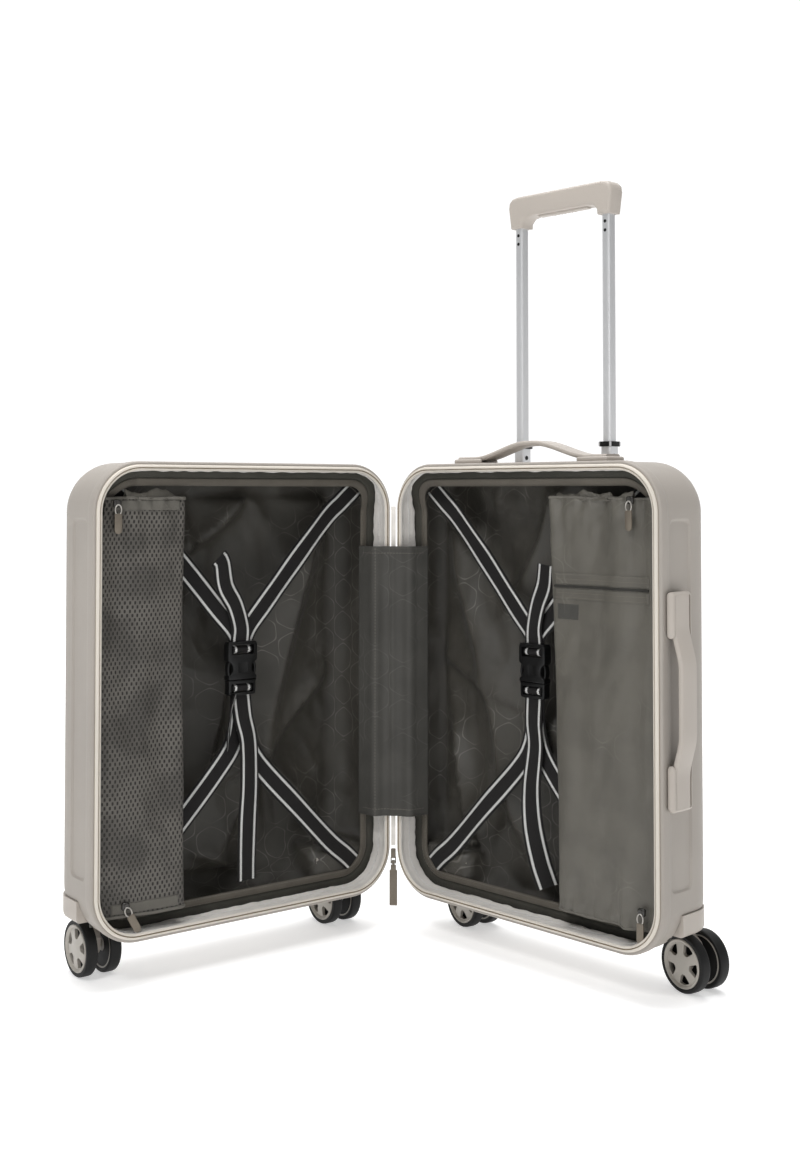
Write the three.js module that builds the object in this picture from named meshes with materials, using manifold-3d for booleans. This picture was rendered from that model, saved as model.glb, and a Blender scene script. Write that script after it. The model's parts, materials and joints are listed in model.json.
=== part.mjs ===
// Hard shell cabin suitcase on four spinner casters, standing open on its wheels with the trolley
// drawn out. Millimetres, +Z up. The origin is on the floor, under the middle of the whole object.
//
// Each half is drawn in its own frame: u runs along the width from the hinge side to the outer side,
// d runs from the rim plane to the bottom of the tray, and z is the height above the floor. The back
// half lies square to the frame, with u along +X and d along +Y. The front half is its mirror image,
// turned about the hinge by OPEN_ANGLE.
import * as THREE from "three";
import { mergeVertices } from "three/addons/utils/BufferGeometryUtils.js";
import Module from "manifold-3d";

// ---- Driving dimensions ----
const TOTAL_HEIGHT = 550;
const WIDTH = 385;
const HALF_DEPTH = 95;
const FLOOR_CLEARANCE = 46;
const OUTLINE_RADIUS = 54;
const BACK_EDGE_RADIUS = 36;
const WALL = 3;
const RIM_LIP = { width: 7, depth: 6 };
const ZIP_GAP = 8;
const OPEN_ANGLE = THREE.MathUtils.degToRad(96.4);
const HINGE_OFFSET = 1;
const FIT_GAP = 0.4;

const TAPE = { outerInset: 4, innerInset: 9.8, lapInset: 7.4, proud: 3.5, lapEnd: 22 };
const LINING = { outerInset: 3.9, thickness: 2.1, mouthInset: 26, front: 23.5, lip: 3.5, floor: 1.5 };
const LINING_DEPTH = { back: 71.5, front: 91 };
const LINING_EDGE_RADIUS = { back: 12, front: 30 };

const WHEEL_RADIUS = 30;
const SWIVEL_INSET = 35;
const SWIVEL_DEPTH = 84;
const POCKET = { width: 83, front: 33, top: 90 };
const HOUSING_BOTTOM = 66;

const TUBE_SPACING = 128;
const TUBE_DEPTH = 82;
const UPPER_TUBE = { w: 11, d: 13 };
const MIDDLE_TUBE = { w: 14, d: 16 };
const OUTER_TUBE = { w: 17, d: 19 };
const TUBE_WALL = 1;
const TRAY = { width: 170, front: 64.4, back: 94, floor: 507, floorThickness: 3, wall: 2, lowLip: 512 };
const MIDDLE_OUT = 60.5;
const UPPER_OUT = 252.5;
const COLLAR = { height: 5, proud: 1.2, gap: 0.5 };
const TUBE_CLEARANCE = 0.5;

const CORNER_STEPS = 6;
const EDGE_STEPS = 5;
const MID_U = WIDTH / 2;
const MID_Z = (TOTAL_HEIGHT + FLOOR_CLEARANCE) / 2;
const SHELL_HEIGHT = TOTAL_HEIGHT - FLOOR_CLEARANCE;

// ---- Materials ----
function finish(color, roughness, metalness = 0) {
  return new THREE.MeshStandardMaterial({ color, roughness, metalness });
}

const CREAM = finish(0xd2cac0, 0.55);
const CREAM_TRIM = finish(0xcfc6bb, 0.5);
const ZIP_CREAM = finish(0xd8d0c6, 0.85);
const LINING_FABRIC = finish(0x57544a, 0.8);
const MESH_FABRIC = finish(0x6b685c, 0.85);
const WEBBING = finish(0x1d1c1c, 0.8);
const BLACK_PLASTIC = finish(0x111111, 0.4);
const RUBBER = finish(0x131313, 0.7);
const HUB_PLASTIC = finish(0xbcb6ad, 0.45);
const ALUMINIUM = finish(0xb4b6b8, 0.32, 0.9);
const TAUPE_METAL = finish(0x8a8072, 0.4, 0.5);

// ---- Joining and cutting ----
const wasm = await Module();
wasm.setup();

const DISCARDED = ["normal", "uv"];

function toSolid(geometry) {
  const bare = geometry.clone();
  DISCARDED.forEach((name) => bare.deleteAttribute(name));
  const merged = mergeVertices(bare, 1e-4);
  return new wasm.Manifold(
    new wasm.Mesh({
      numProp: 3,
      vertProperties: new Float32Array(merged.attributes.position.array),
      triVerts: new Uint32Array(merged.index.array),
    }),
  );
}

function toGeometry(solid) {
  const mesh = solid.getMesh();
  const geometry = new THREE.BufferGeometry();
  geometry.setAttribute("position", new THREE.BufferAttribute(mesh.vertProperties, 3));
  geometry.setIndex(new THREE.BufferAttribute(mesh.triVerts, 1));
  const faceted = geometry.toNonIndexed();
  faceted.computeVertexNormals();
  return faceted;
}

function join(first, ...others) {
  return toGeometry(others.reduce((sum, g) => sum.add(toSolid(g)), toSolid(first)));
}

function cut(base, ...tools) {
  return toGeometry(tools.reduce((rest, g) => rest.subtract(toSolid(g)), toSolid(base)));
}

function common(a, b) {
  return toGeometry(toSolid(a).intersect(toSolid(b)));
}

// ---- Basic shapes ----
function block(x0, x1, y0, y1, z0, z1) {
  const box = new THREE.BoxGeometry(x1 - x0, y1 - y0, z1 - z0);
  return box.translate((x0 + x1) / 2, (y0 + y1) / 2, (z0 + z1) / 2);
}

// Two numbers, the lower one first.
function ordered(a, b) {
  return [Math.min(a, b), Math.max(a, b)];
}

// A round bar between two points given as [x, y, z].
function bar(from, to, radius, sides = 12) {
  const a = new THREE.Vector3(...from);
  const b = new THREE.Vector3(...to);
  const along = b.clone().sub(a);
  const up = new THREE.Vector3(0, 1, 0);
  const turn = new THREE.Quaternion().setFromUnitVectors(up, along.clone().normalize());
  return new THREE.CylinderGeometry(radius, radius, along.length(), sides)
    .applyQuaternion(turn)
    .translate(...a.add(b).multiplyScalar(0.5).toArray());
}

// Points of a rounded rectangle about the origin, anticlockwise.
function roundedRectangle(width, height, radius, steps = CORNER_STEPS) {
  const centres = [
    [1, 1, 0],
    [-1, 1, 1],
    [-1, -1, 2],
    [1, -1, 3],
  ];
  return centres.flatMap(([sx, sy, quarter]) =>
    Array.from({ length: steps + 1 }, (_, i) => {
      const angle = ((quarter + i / steps) * Math.PI) / 2;
      return new THREE.Vector2(
        sx * (width / 2 - radius) + radius * Math.cos(angle),
        sy * (height / 2 - radius) + radius * Math.sin(angle),
      );
    }),
  );
}

// The case's outline, moved inwards by inset, as a ring of points at depth d.
function outlineRing([inset, d]) {
  const radius = Math.max(OUTLINE_RADIUS - inset, 2);
  return roundedRectangle(WIDTH - 2 * inset, SHELL_HEIGHT - 2 * inset, radius).map(
    (p) => new THREE.Vector3(MID_U + p.x, d, MID_Z + p.y),
  );
}

// A skin through rings of equal length. Its ends are capped, or with loop true its last ring joins
// its first.
function skin(rings, loop = false) {
  const points = rings.flat();
  const count = rings[0].length;
  const index = [];
  const last = loop ? rings.length : rings.length - 1;
  for (let r = 0; r < last; r++) {
    const next = (r + 1) % rings.length;
    for (let i = 0; i < count; i++) {
      const j = (i + 1) % count;
      const [a, b, c, d] = [r * count + i, r * count + j, next * count + j, next * count + i];
      index.push(a, d, c, a, c, b);
    }
  }
  if (!loop) {
    const ends = [
      [0, 1],
      [rings.length - 1, -1],
    ];
    for (const [r, side] of ends) {
      const centre = points.length;
      points.push(rings[r].reduce((sum, p) => sum.add(p), new THREE.Vector3()).divideScalar(count));
      for (let i = 0; i < count; i++) {
        const pair = [r * count + i, r * count + ((i + 1) % count)];
        index.push(centre, ...(side > 0 ? pair : pair.reverse()));
      }
    }
  }
  const geometry = new THREE.BufferGeometry().setFromPoints(points);
  geometry.setIndex(index);
  const faceted = geometry.toNonIndexed();
  faceted.computeVertexNormals();
  return faceted;
}

// A full tray-shaped body from depth d0 to d1, its far edge rounded.
function trayBody(inset, d0, d1, edgeRadius) {
  const levels = [[inset, d0]];
  for (let i = 0; i <= EDGE_STEPS; i++) {
    const angle = ((i / EDGE_STEPS) * Math.PI) / 2;
    const turned = edgeRadius * (1 - Math.cos(angle));
    levels.push([inset + turned, d1 - edgeRadius * (1 - Math.sin(angle))]);
  }
  return skin(levels.map(outlineRing));
}

// A flat plate cut to a list of [x, y] points, from z0 to z1.
function plate(points, z0, z1) {
  const shape = new THREE.Shape(points.map(([x, y]) => new THREE.Vector2(x, y)));
  return new THREE.ExtrudeGeometry(shape, { depth: z1 - z0, bevelEnabled: false }).translate(0, 0, z0);
}

// The same plate stood up: the points are [x, z] and it runs from y0 to y1.
function uprightPlate(points, y0, y1) {
  return plate(points, -y1, -y0).rotateX(Math.PI / 2);
}

// ---- Shells ----
// The blocks that the two wheel pockets take out of a half, grown by margin on the sides that face inwards.
function pocketBlocks(margin) {
  const far = HALF_DEPTH + 40;
  const sides = [
    [-40, POCKET.width + margin],
    [WIDTH - POCKET.width - margin, WIDTH + 40],
  ];
  return sides.map(([u0, u1]) => block(u0, u1, POCKET.front - margin, far, -20, POCKET.top + margin));
}

// The room that the trolley's tray takes out of the back half, grown by margin.
function trayOpening(margin) {
  const half = TRAY.width / 2 + margin;
  const bottom = TRAY.floor - TRAY.floorThickness - margin;
  return block(
    MID_U - half,
    MID_U + half,
    TRAY.front - margin,
    HALF_DEPTH + 20,
    bottom,
    TOTAL_HEIGHT + 20,
  );
}

function shell(windows) {
  const outside = cut(trayBody(0, 0, HALF_DEPTH, BACK_EDGE_RADIUS), ...pocketBlocks(0));
  const hollow = cut(
    trayBody(WALL, RIM_LIP.depth, HALF_DEPTH - WALL, BACK_EDGE_RADIUS - WALL),
    ...pocketBlocks(WALL),
  );
  const mouth = skin([outlineRing([RIM_LIP.width, -1]), outlineRing([RIM_LIP.width, RIM_LIP.depth + 1])]);
  return cut(outside, hollow, mouth, ...windows);
}

function zipTape() {
  const profile = [
    [TAPE.outerInset, -TAPE.proud],
    [TAPE.outerInset, -FIT_GAP],
    [TAPE.lapInset, -FIT_GAP],
    [TAPE.lapInset, TAPE.lapEnd],
    [TAPE.innerInset, TAPE.lapEnd],
    [TAPE.innerInset, -TAPE.proud],
  ];
  return skin(profile.map(outlineRing), true);
}

// Bag-like lining with a band round its mouth that reaches further in than its side walls.
function lining(side, extraBlocks = () => []) {
  const depth = LINING_DEPTH[side];
  const edge = LINING_EDGE_RADIUS[side];
  const clear = WALL + 1.2;
  const outside = cut(
    trayBody(LINING.outerInset, LINING.front, depth, edge),
    ...pocketBlocks(clear),
    ...extraBlocks(0),
  );
  const hollow = cut(
    trayBody(
      LINING.outerInset + LINING.thickness,
      LINING.front + LINING.lip,
      depth - LINING.floor,
      edge - LINING.floor,
    ),
    ...pocketBlocks(clear + LINING.floor),
    ...extraBlocks(LINING.floor),
  );
  const mouthRings = [LINING.front - 1, LINING.front + LINING.lip + 0.5];
  const mouth = skin(mouthRings.map((d) => outlineRing([LINING.mouthInset, d])));
  return cut(outside, hollow, mouth);
}

// ---- Casters ----
const TRAIL = 16;
const WHEEL = { inner: 7, width: 13.5, hubRadius: 25.2, stubRadius: 3 };
const FORK = { halfWidth: 5.8, axleRadius: 9, shoulder: 61, top: 65.4, discRadius: 11.5 };
const KINGPIN = { radius: 4, bottom: 63, top: 84 };
const BORE_CLEARANCE = 0.4;
const WHEEL_STEPS = 24;
const HUB_STEPS = 16;

// Corner block that closes the wheel pocket, drawn for the outer corner of a half.
function casterHousing() {
  const u0 = WIDTH - POCKET.width + FIT_GAP;
  const d0 = POCKET.front + FIT_GAP;
  const levels = [
    [4, HOUSING_BOTTOM],
    [0, HOUSING_BOTTOM + 5],
    [0, POCKET.top - FIT_GAP],
  ];
  const plan = ([inset, z]) => {
    const [u1, d1] = [WIDTH - inset, HALF_DEPTH - inset];
    const radius = BACK_EDGE_RADIUS - inset;
    const arc = Array.from({ length: CORNER_STEPS + 1 }, (_, i) => {
      const angle = ((i / CORNER_STEPS) * Math.PI) / 2;
      return [u1 - radius + radius * Math.cos(angle), d1 - radius + radius * Math.sin(angle)];
    });
    return [[u0, d0], [u1, d0], ...arc, [u0, d1]].map(([u, d]) => new THREE.Vector3(u, d, z));
  };
  const bore = bar(
    [WIDTH - SWIVEL_INSET, SWIVEL_DEPTH, HOUSING_BOTTOM - 5],
    [WIDTH - SWIVEL_INSET, SWIVEL_DEPTH, KINGPIN.top + 2],
    KINGPIN.radius + BORE_CLEARANCE,
    16,
  );
  return cut(skin(levels.map(plan).reverse()), bore);
}

// The fork stands between the two wheels. Its origin is on the floor under its kingpin, and it trails
// along +X.
function fork() {
  const side = new THREE.Shape();
  side.moveTo(-FORK.discRadius, FORK.shoulder);
  side.lineTo(TRAIL - FORK.axleRadius, WHEEL_RADIUS);
  side.absarc(TRAIL, WHEEL_RADIUS, FORK.axleRadius, Math.PI, 2 * Math.PI, false);
  side.lineTo(TRAIL + FORK.axleRadius + 2, WHEEL_RADIUS + 12);
  side.lineTo(FORK.discRadius, FORK.shoulder);
  const across = { depth: 2 * FORK.halfWidth, bevelEnabled: false, curveSegments: 8 };
  const web = new THREE.ExtrudeGeometry(side, across)
    .translate(0, 0, -FORK.halfWidth)
    .rotateX(Math.PI / 2);
  const disc = bar([0, 0, FORK.shoulder - 0.2], [0, 0, FORK.top], FORK.discRadius, 20);
  const pin = bar([0, 0, KINGPIN.bottom], [0, 0, KINGPIN.top], KINGPIN.radius, 12);
  const reach = FORK.halfWidth + 2;
  const bore = bar(
    [TRAIL, -reach, WHEEL_RADIUS],
    [TRAIL, reach, WHEEL_RADIUS],
    WHEEL.stubRadius + BORE_CLEARANCE,
    14,
  );
  return cut(join(web, disc, pin), bore);
}

// Wheel parts turn about the Y axis through the origin. Profile points are [radius, y].
function turned(profile, steps) {
  return new THREE.LatheGeometry(profile.map(([r, y]) => new THREE.Vector2(r, y)), steps);
}

function tyre() {
  const [y0, y1] = [WHEEL.inner, WHEEL.inner + WHEEL.width];
  const inner = WHEEL.hubRadius + 0.3;
  const profile = [
    [inner, y0 + 1],
    [WHEEL_RADIUS - 1.2, y0],
    [WHEEL_RADIUS, y0 + 2.5],
    [WHEEL_RADIUS, y1 - 2.5],
    [WHEEL_RADIUS - 1.2, y1],
    [inner, y1 - 1],
    [inner, y0 + 1],
  ];
  return turned(profile, WHEEL_STEPS);
}

function hub() {
  const [y0, y1] = [WHEEL.inner, WHEEL.inner + WHEEL.width];
  const profile = [
    [0, 0.4],
    [WHEEL.stubRadius, 0.4],
    [WHEEL.stubRadius, y0],
    [7, y0],
    [WHEEL.hubRadius, y0 + 2.5],
    [WHEEL.hubRadius, y1 - 1],
    [0, y1 - 0.5],
  ];
  return turned(profile, HUB_STEPS);
}

// ---- Trolley ----
// Upright rectangular tube with rounded corners, centred on the origin in plan.
function tube({ w, d }, z0, z1) {
  const corner = 3;
  const outline = (inset) => roundedRectangle(w - 2 * inset, d - 2 * inset, corner - inset, 3);
  const shape = new THREE.Shape(outline(0));
  shape.holes.push(new THREE.Path(outline(TUBE_WALL).reverse()));
  return new THREE.ExtrudeGeometry(shape, { depth: z1 - z0, bevelEnabled: false }).translate(0, 0, z0);
}

const COLLAR_TOP = TRAY.floor + COLLAR.height + COLLAR.gap + MIDDLE_OUT;
const GRIP_BOTTOM = COLLAR_TOP + COLLAR.gap + UPPER_OUT;
const GRIP = { height: 37, barHeight: 24.5, halfLength: 76, legHalf: 8.5, depth: 18, bevel: 3 };
const BUTTON = { halfLength: 36, halfDepth: 4.6, height: 7, proud: 2, travel: 3.5 };
const SOCKET_DEPTH = 20;

// An upright box centred on the origin in plan, clear of a rectangle of size { w, d } by margin.
function around({ w, d }, margin, z0, z1) {
  const [x, y] = [w / 2 + margin, d / 2 + margin];
  return block(-x, x, -y, y, z0, z1);
}

function middleTube() {
  const overlap = 268;
  const collarBottom = COLLAR_TOP - COLLAR.height;
  const pipe = tube(MIDDLE_TUBE, collarBottom - overlap, COLLAR_TOP - COLLAR.gap);
  const collar = cut(
    around(MIDDLE_TUBE, COLLAR.proud, collarBottom, COLLAR_TOP),
    around(UPPER_TUBE, TUBE_CLEARANCE, collarBottom - 1, COLLAR_TOP + 1),
  );
  return join(pipe, collar);
}

function upperTube() {
  const insideMiddle = 45;
  return tube(UPPER_TUBE, COLLAR_TOP - insideMiddle, GRIP_BOTTOM + SOCKET_DEPTH - FIT_GAP);
}

// The grip's front outline has flared legs and round inner corners. It is centred on the trolley.
function grip() {
  const half = TUBE_SPACING / 2;
  const inset = GRIP.bevel;
  const under = GRIP.height - GRIP.barHeight;
  const fillet = 14;
  const inner = half - GRIP.legHalf;
  const end = GRIP.halfLength - inset;
  const top = GRIP.height - inset;
  const shoulder = 9;
  const outline = new THREE.Shape();
  outline.moveTo(-half - GRIP.legHalf + inset, inset);
  outline.lineTo(-inner - inset, inset);
  outline.quadraticCurveTo(-inner - inset, under + inset, -inner + fillet, under + inset);
  outline.lineTo(inner - fillet, under + inset);
  outline.quadraticCurveTo(inner + inset, under + inset, inner + inset, inset);
  outline.lineTo(half + GRIP.legHalf - inset, inset);
  outline.quadraticCurveTo(end, GRIP.height / 2, end, GRIP.height - 10);
  outline.quadraticCurveTo(end, top, end - shoulder, top);
  outline.lineTo(shoulder - end, top);
  outline.quadraticCurveTo(-end, top, -end, GRIP.height - 10);
  outline.quadraticCurveTo(-end, GRIP.height / 2, -half - GRIP.legHalf + inset, inset);
  const body = new THREE.ExtrudeGeometry(outline, {
    depth: GRIP.depth,
    bevelSize: GRIP.bevel,
    bevelThickness: GRIP.bevel,
    bevelSegments: 2,
    curveSegments: 4,
  })
    .translate(0, 0, -GRIP.depth / 2)
    .rotateX(Math.PI / 2);
  const sockets = [-half, half].map((x) =>
    around(UPPER_TUBE, TUBE_CLEARANCE, -1, SOCKET_DEPTH).translate(x, 0, 0),
  );
  const slot = block(
    -BUTTON.halfLength - FIT_GAP,
    BUTTON.halfLength + FIT_GAP,
    -BUTTON.halfDepth - FIT_GAP,
    BUTTON.halfDepth + FIT_GAP,
    under - 2,
    under - BUTTON.proud + BUTTON.height + BUTTON.travel + FIT_GAP,
  );
  return cut(body, ...sockets, slot).translate(0, 0, GRIP_BOTTOM);
}

function releaseButton() {
  const bottom = GRIP_BOTTOM + GRIP.height - GRIP.barHeight - BUTTON.proud;
  const { halfLength: l, halfDepth: w, height: h } = BUTTON;
  return join(
    block(-l, l, -w, w, bottom + 1.5, bottom + h),
    block(-l + 2, l - 2, -w + 1.5, w - 1.5, bottom, bottom + 2),
  );
}

// Tray in the top of the back shell: floor with the tube holes, two ends, a front wall and a low wall
// at the back.
function trolleyTray() {
  const half = TRAY.width / 2;
  const z0 = TRAY.floor - TRAY.floorThickness;
  const whole = block(MID_U - half, MID_U + half, TRAY.front, TRAY.back, z0, TOTAL_HEIGHT + 5);
  const room = block(
    MID_U - half + TRAY.wall,
    MID_U + half - TRAY.wall,
    TRAY.front + TRAY.wall,
    TRAY.back - TRAY.wall,
    TRAY.floor,
    TOTAL_HEIGHT + 10,
  );
  const backGap = block(
    MID_U - half + TRAY.wall,
    MID_U + half - TRAY.wall,
    TRAY.back - TRAY.wall - 1,
    TRAY.back + 5,
    TRAY.lowLip,
    TOTAL_HEIGHT + 10,
  );
  const holes = [-1, 1].map((side) => {
    const u = MID_U + (side * TUBE_SPACING) / 2;
    return around(MIDDLE_TUBE, TUBE_CLEARANCE, z0 - 1, TRAY.floor + 1).translate(u, TUBE_DEPTH, 0);
  });
  const outside = trayBody(0, 0, HALF_DEPTH, BACK_EDGE_RADIUS);
  return common(cut(whole, room, backGap, ...holes), outside);
}

// ---- Carry handles ----
const SIDE_HANDLE = { z: 307, halfLength: 107, width: 26, d: 22, bow: 18, end: 9.5, thick: 6, foot: 38 };
const SIDE_SOCKET = { width: 34, length: 47, height: 10, floor: 1.6, wall: 2.5, reach: 3 };
const TOP_HANDLE = { halfLength: 108, width: 24, d: 31, bow: 23, end: 7, thick: 6, foot: 30 };
const TOP_SOCKET = { width: 31, length: 42, height: 5, floor: 1.4, wall: 3.2, reach: 4 };
const SOCKET_CLEARANCE = 0.6;

// A bowed strap drawn as [along, out]: its ends lie flat over its feet, and its middle stands off by
// bow.
function bowedStrap({ halfLength, bow, end, thick, foot }) {
  const steps = 10;
  const free = halfLength - foot;
  const rise = (s) => (Math.abs(s) >= free ? 0 : 0.5 * (1 + Math.cos((Math.PI * s) / free)));
  const outer = [];
  for (let i = -steps; i <= steps; i++) {
    const s = (free * i) / steps;
    outer.push([s, end + (bow - end) * Math.pow(rise(s), 0.7)]);
  }
  const top = [[-halfLength, end], ...outer, [halfLength, end]];
  const under = top.map(([s, out]) => [s, out - thick]).reverse();
  return [...top, ...under].reverse();
}

// Turns a piece drawn along x, standing off by y and centred on z, so that x runs up and y out to +u.
const UP_THE_SIDE = new THREE.Matrix4().makeBasis(
  new THREE.Vector3(0, 0, 1),
  new THREE.Vector3(1, 0, 0),
  new THREE.Vector3(0, 1, 0),
);

function sideHandle() {
  const half = SIDE_HANDLE.width / 2;
  return plate(bowedStrap(SIDE_HANDLE), -half, half)
    .applyMatrix4(UP_THE_SIDE)
    .translate(WIDTH, SIDE_HANDLE.d, SIDE_HANDLE.z);
}

// Open-faced cup for one end of a handle, drawn like the handle itself: x along it and y out from the
// shell. direction is +1 or -1, for the end of the handle that it holds.
function handleSocket(handle, { width, length, height, floor, wall, reach }, direction) {
  const far = direction * (handle.halfLength + reach);
  const near = far - direction * length;
  const slot = handle.width / 2 + SOCKET_CLEARANCE;
  const cup = block(...ordered(near, far), FIT_GAP, height, -width / 2, width / 2);
  const inside = ordered(far - direction * wall, near - direction * 5);
  return cut(cup, block(...inside, FIT_GAP + floor, height + 5, -slot, slot));
}

function sideSocket(direction) {
  return handleSocket(SIDE_HANDLE, SIDE_SOCKET, direction)
    .applyMatrix4(UP_THE_SIDE)
    .translate(WIDTH, SIDE_HANDLE.d, SIDE_HANDLE.z);
}

function topHandle() {
  const half = TOP_HANDLE.width / 2;
  const standing = uprightPlate(bowedStrap(TOP_HANDLE).reverse(), -half, half);
  return standing.translate(MID_U, TOP_HANDLE.d, TOTAL_HEIGHT + FIT_GAP + 1);
}

function topSocket(direction) {
  return handleSocket(TOP_HANDLE, TOP_SOCKET, direction)
    .rotateX(Math.PI / 2)
    .translate(MID_U, TOP_HANDLE.d, TOTAL_HEIGHT);
}

// ---- Inside pieces ----
const STRAP = { width: 25, d: 29, thick: 1.4, cornerU: 58, fold: 3 };
const STRAP_CORNERS = { upper: 505, lower: 108 };
const STRAP_MEETING = { upper: 366, lower: 234 };
const TAIL = { width: 23, d: 25.2, thick: 1.2 };
const TAIL_ENDS = { upper: 437, lower: 84 };
const BUCKLE = { z: 319, width: 38, thick: 12, d: 29.6, length: 60, split: 312 };
const BUCKLE_ROOM = { width: 26, thick: 7, length: 22 };
const PRONG = { spacing: 9, width: 4, thick: 5, reach: 19 };

// One arm of a cross strap, from a corner of the half to the point where it meets the other arm.
function strapArm(side, cornerZ, meetZ) {
  const from = new THREE.Vector2(MID_U + side * (MID_U - STRAP.cornerU), cornerZ);
  const to = new THREE.Vector2(MID_U, meetZ);
  const along = to.clone().sub(from);
  const across = new THREE.Vector2(-along.y, along.x).setLength(STRAP.width / 2);
  const corners = [
    from.clone().add(across),
    from.clone().sub(across),
    to.clone().sub(across),
    to.clone().add(across),
  ];
  const outline = corners.map((p) => [p.x, p.y]);
  return uprightPlate(outline, STRAP.d, STRAP.d + STRAP.thick);
}

// The two arms above or below the buckle, with the free end of the webbing folded in front of them.
function strapPair(end) {
  const direction = end === "upper" ? 1 : -1;
  const buckleZ = BUCKLE.z + direction * (BUCKLE.length / 2 + FIT_GAP);
  const meetZ = STRAP_MEETING[end];
  const strap = (width, d0, d1, z0, z1) =>
    block(MID_U - width / 2, MID_U + width / 2, d0, d1, ...ordered(z0, z1));
  const back = STRAP.d + STRAP.thick;
  return join(
    strapArm(-1, STRAP_CORNERS[end], meetZ),
    strapArm(1, STRAP_CORNERS[end], meetZ),
    strap(STRAP.width, STRAP.d, back, meetZ, buckleZ),
    strap(TAIL.width, TAIL.d, back, buckleZ, buckleZ + direction * STRAP.fold),
    strap(TAIL.width, TAIL.d, TAIL.d + TAIL.thick, buckleZ, TAIL_ENDS[end]),
  );
}

// A block centred on the buckle, in the depth and across it.
function buckleBlock(width, thick, z0, z1, offset = 0) {
  const { d } = BUCKLE;
  const u = MID_U + offset;
  return block(u - width / 2, u + width / 2, d - thick / 2, d + thick / 2, z0, z1);
}

function buckleSocket() {
  const { width, thick, z, length, split } = BUCKLE;
  const body = buckleBlock(width, thick, split, z + length / 2);
  const roomTop = split + BUCKLE_ROOM.length;
  return cut(body, buckleBlock(BUCKLE_ROOM.width, BUCKLE_ROOM.thick, split - 1, roomTop));
}

function bucklePlug() {
  const { width, thick, z, length, split } = BUCKLE;
  const body = buckleBlock(width - 2, thick - 2, z - length / 2, split - 0.5);
  const prongs = [-1, 0, 1].map((side) =>
    buckleBlock(PRONG.width, PRONG.thick, split - 2, split + PRONG.reach, side * PRONG.spacing),
  );
  return join(body, ...prongs);
}

// Unzipped divider folded to the outer side, in two layers joined by a round fold at its inner edge.
const DIVIDER = { outerU: 371, d0: 4, d1: 18, z0: 88, z1: 508 };

function divider(innerU) {
  const { outerU, d0, d1, z0, z1 } = DIVIDER;
  const mid = (d0 + d1) / 2;
  const radius = (d1 - d0) / 2;
  const fold = Array.from({ length: 7 }, (_, i) => {
    const angle = Math.PI / 2 + (i / 6) * Math.PI;
    return [innerU + radius + radius * Math.cos(angle), mid + radius * Math.sin(angle)];
  });
  return plate([[outerU, d0], [outerU, d0 + 3], [outerU - 24, d1], ...fold], z0, z1);
}

// ---- Hinge side, drawn about the hinge axis ----
const HINGE_TAPE = { z0: 99, z1: 500, halfWidth: 2.6, halfThick: 1 };
const FLAP = { z0: 136, z1: 453, thick: 1.2 };
const SLIDER = { half: 2.8, z0: 84, z1: 95 };
const CHEEK = { inner: 2.1, outer: 3.4, half: 1.8 };
const PULLER_PIN = { z: 79, radius: 1, halfLength: 3 };
const PULLER = { bottom: 28, halfWidth: 5, halfThick: 1, neck: 1.6, eyeRadius: 2.5 };

function hingeTape() {
  const { z0, z1, halfWidth: w, halfThick: t } = HINGE_TAPE;
  return block(-t, t, -w, w, z0, z1);
}

// Where a point of a half lies in plan about the hinge axis, with the case open.
function planPoint(side, u, d) {
  const along = new THREE.Vector2(u + HINGE_OFFSET, d + ZIP_GAP / 2);
  if (side === "back") return along;
  along.y = -along.y;
  return along.rotateAround(new THREE.Vector2(), -OPEN_ANGLE);
}

// Fabric flap that bridges the two halves in front of their rims.
function hingeFlap() {
  const line = [
    [27, 20],
    [24, 0],
    [12, -6],
  ];
  const route = [
    ...line.map(([u, d]) => planPoint("back", u, d)),
    ...line.reverse().map(([u, d]) => planPoint("front", u, d)),
  ];
  const offset = route.map((p, i) => {
    const before = route[Math.max(i - 1, 0)];
    const after = route[Math.min(i + 1, route.length - 1)];
    const along = after.clone().sub(before).normalize();
    return new THREE.Vector2(p.x + along.y * FLAP.thick, p.y - along.x * FLAP.thick);
  });
  const outline = [...route, ...offset.reverse()].map((p) => [p.x, p.y]);
  return plate(outline, FLAP.z0, FLAP.z1);
}

// A short bar across the slider, at the height of the puller's pin.
function acrossSlider(halfLength, radius, sides) {
  return bar([-halfLength, 0, PULLER_PIN.z], [halfLength, 0, PULLER_PIN.z], radius, sides);
}

function zipSlider() {
  const { half, z0, z1 } = SLIDER;
  const cheeks = [-1, 1].map((side) =>
    block(
      ...ordered(side * CHEEK.inner, side * CHEEK.outer),
      -CHEEK.half,
      CHEEK.half,
      PULLER_PIN.z - CHEEK.half,
      z0 + 1,
    ),
  );
  const pin = acrossSlider(PULLER_PIN.halfLength, PULLER_PIN.radius, 10);
  return join(block(-half, half, -half, half, z0, z1), ...cheeks, pin);
}

function zipPuller() {
  const { bottom, halfWidth, halfThick, neck, eyeRadius } = PULLER;
  const top = PULLER_PIN.z - 5;
  const middle = (top + bottom) / 2;
  const face = roundedRectangle(2 * halfWidth, top - bottom, 3, 3).map((p) => [p.x, p.y + middle]);
  const tab = uprightPlate(face, -halfThick, halfThick);
  const shank = block(-neck, neck, -halfThick, halfThick, top - 2, PULLER_PIN.z);
  const eye = acrossSlider(neck + 0.1, eyeRadius, 14);
  const bore = acrossSlider(PULLER_PIN.halfLength, PULLER_PIN.radius + BORE_CLEARANCE, 12);
  return cut(join(tab, shank, eye), bore);
}

// ---- Assembly ----
function piece(name, geometry, material, parent) {
  const mesh = new THREE.Mesh(geometry, material);
  mesh.name = name;
  parent.add(mesh);
  return mesh;
}

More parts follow.
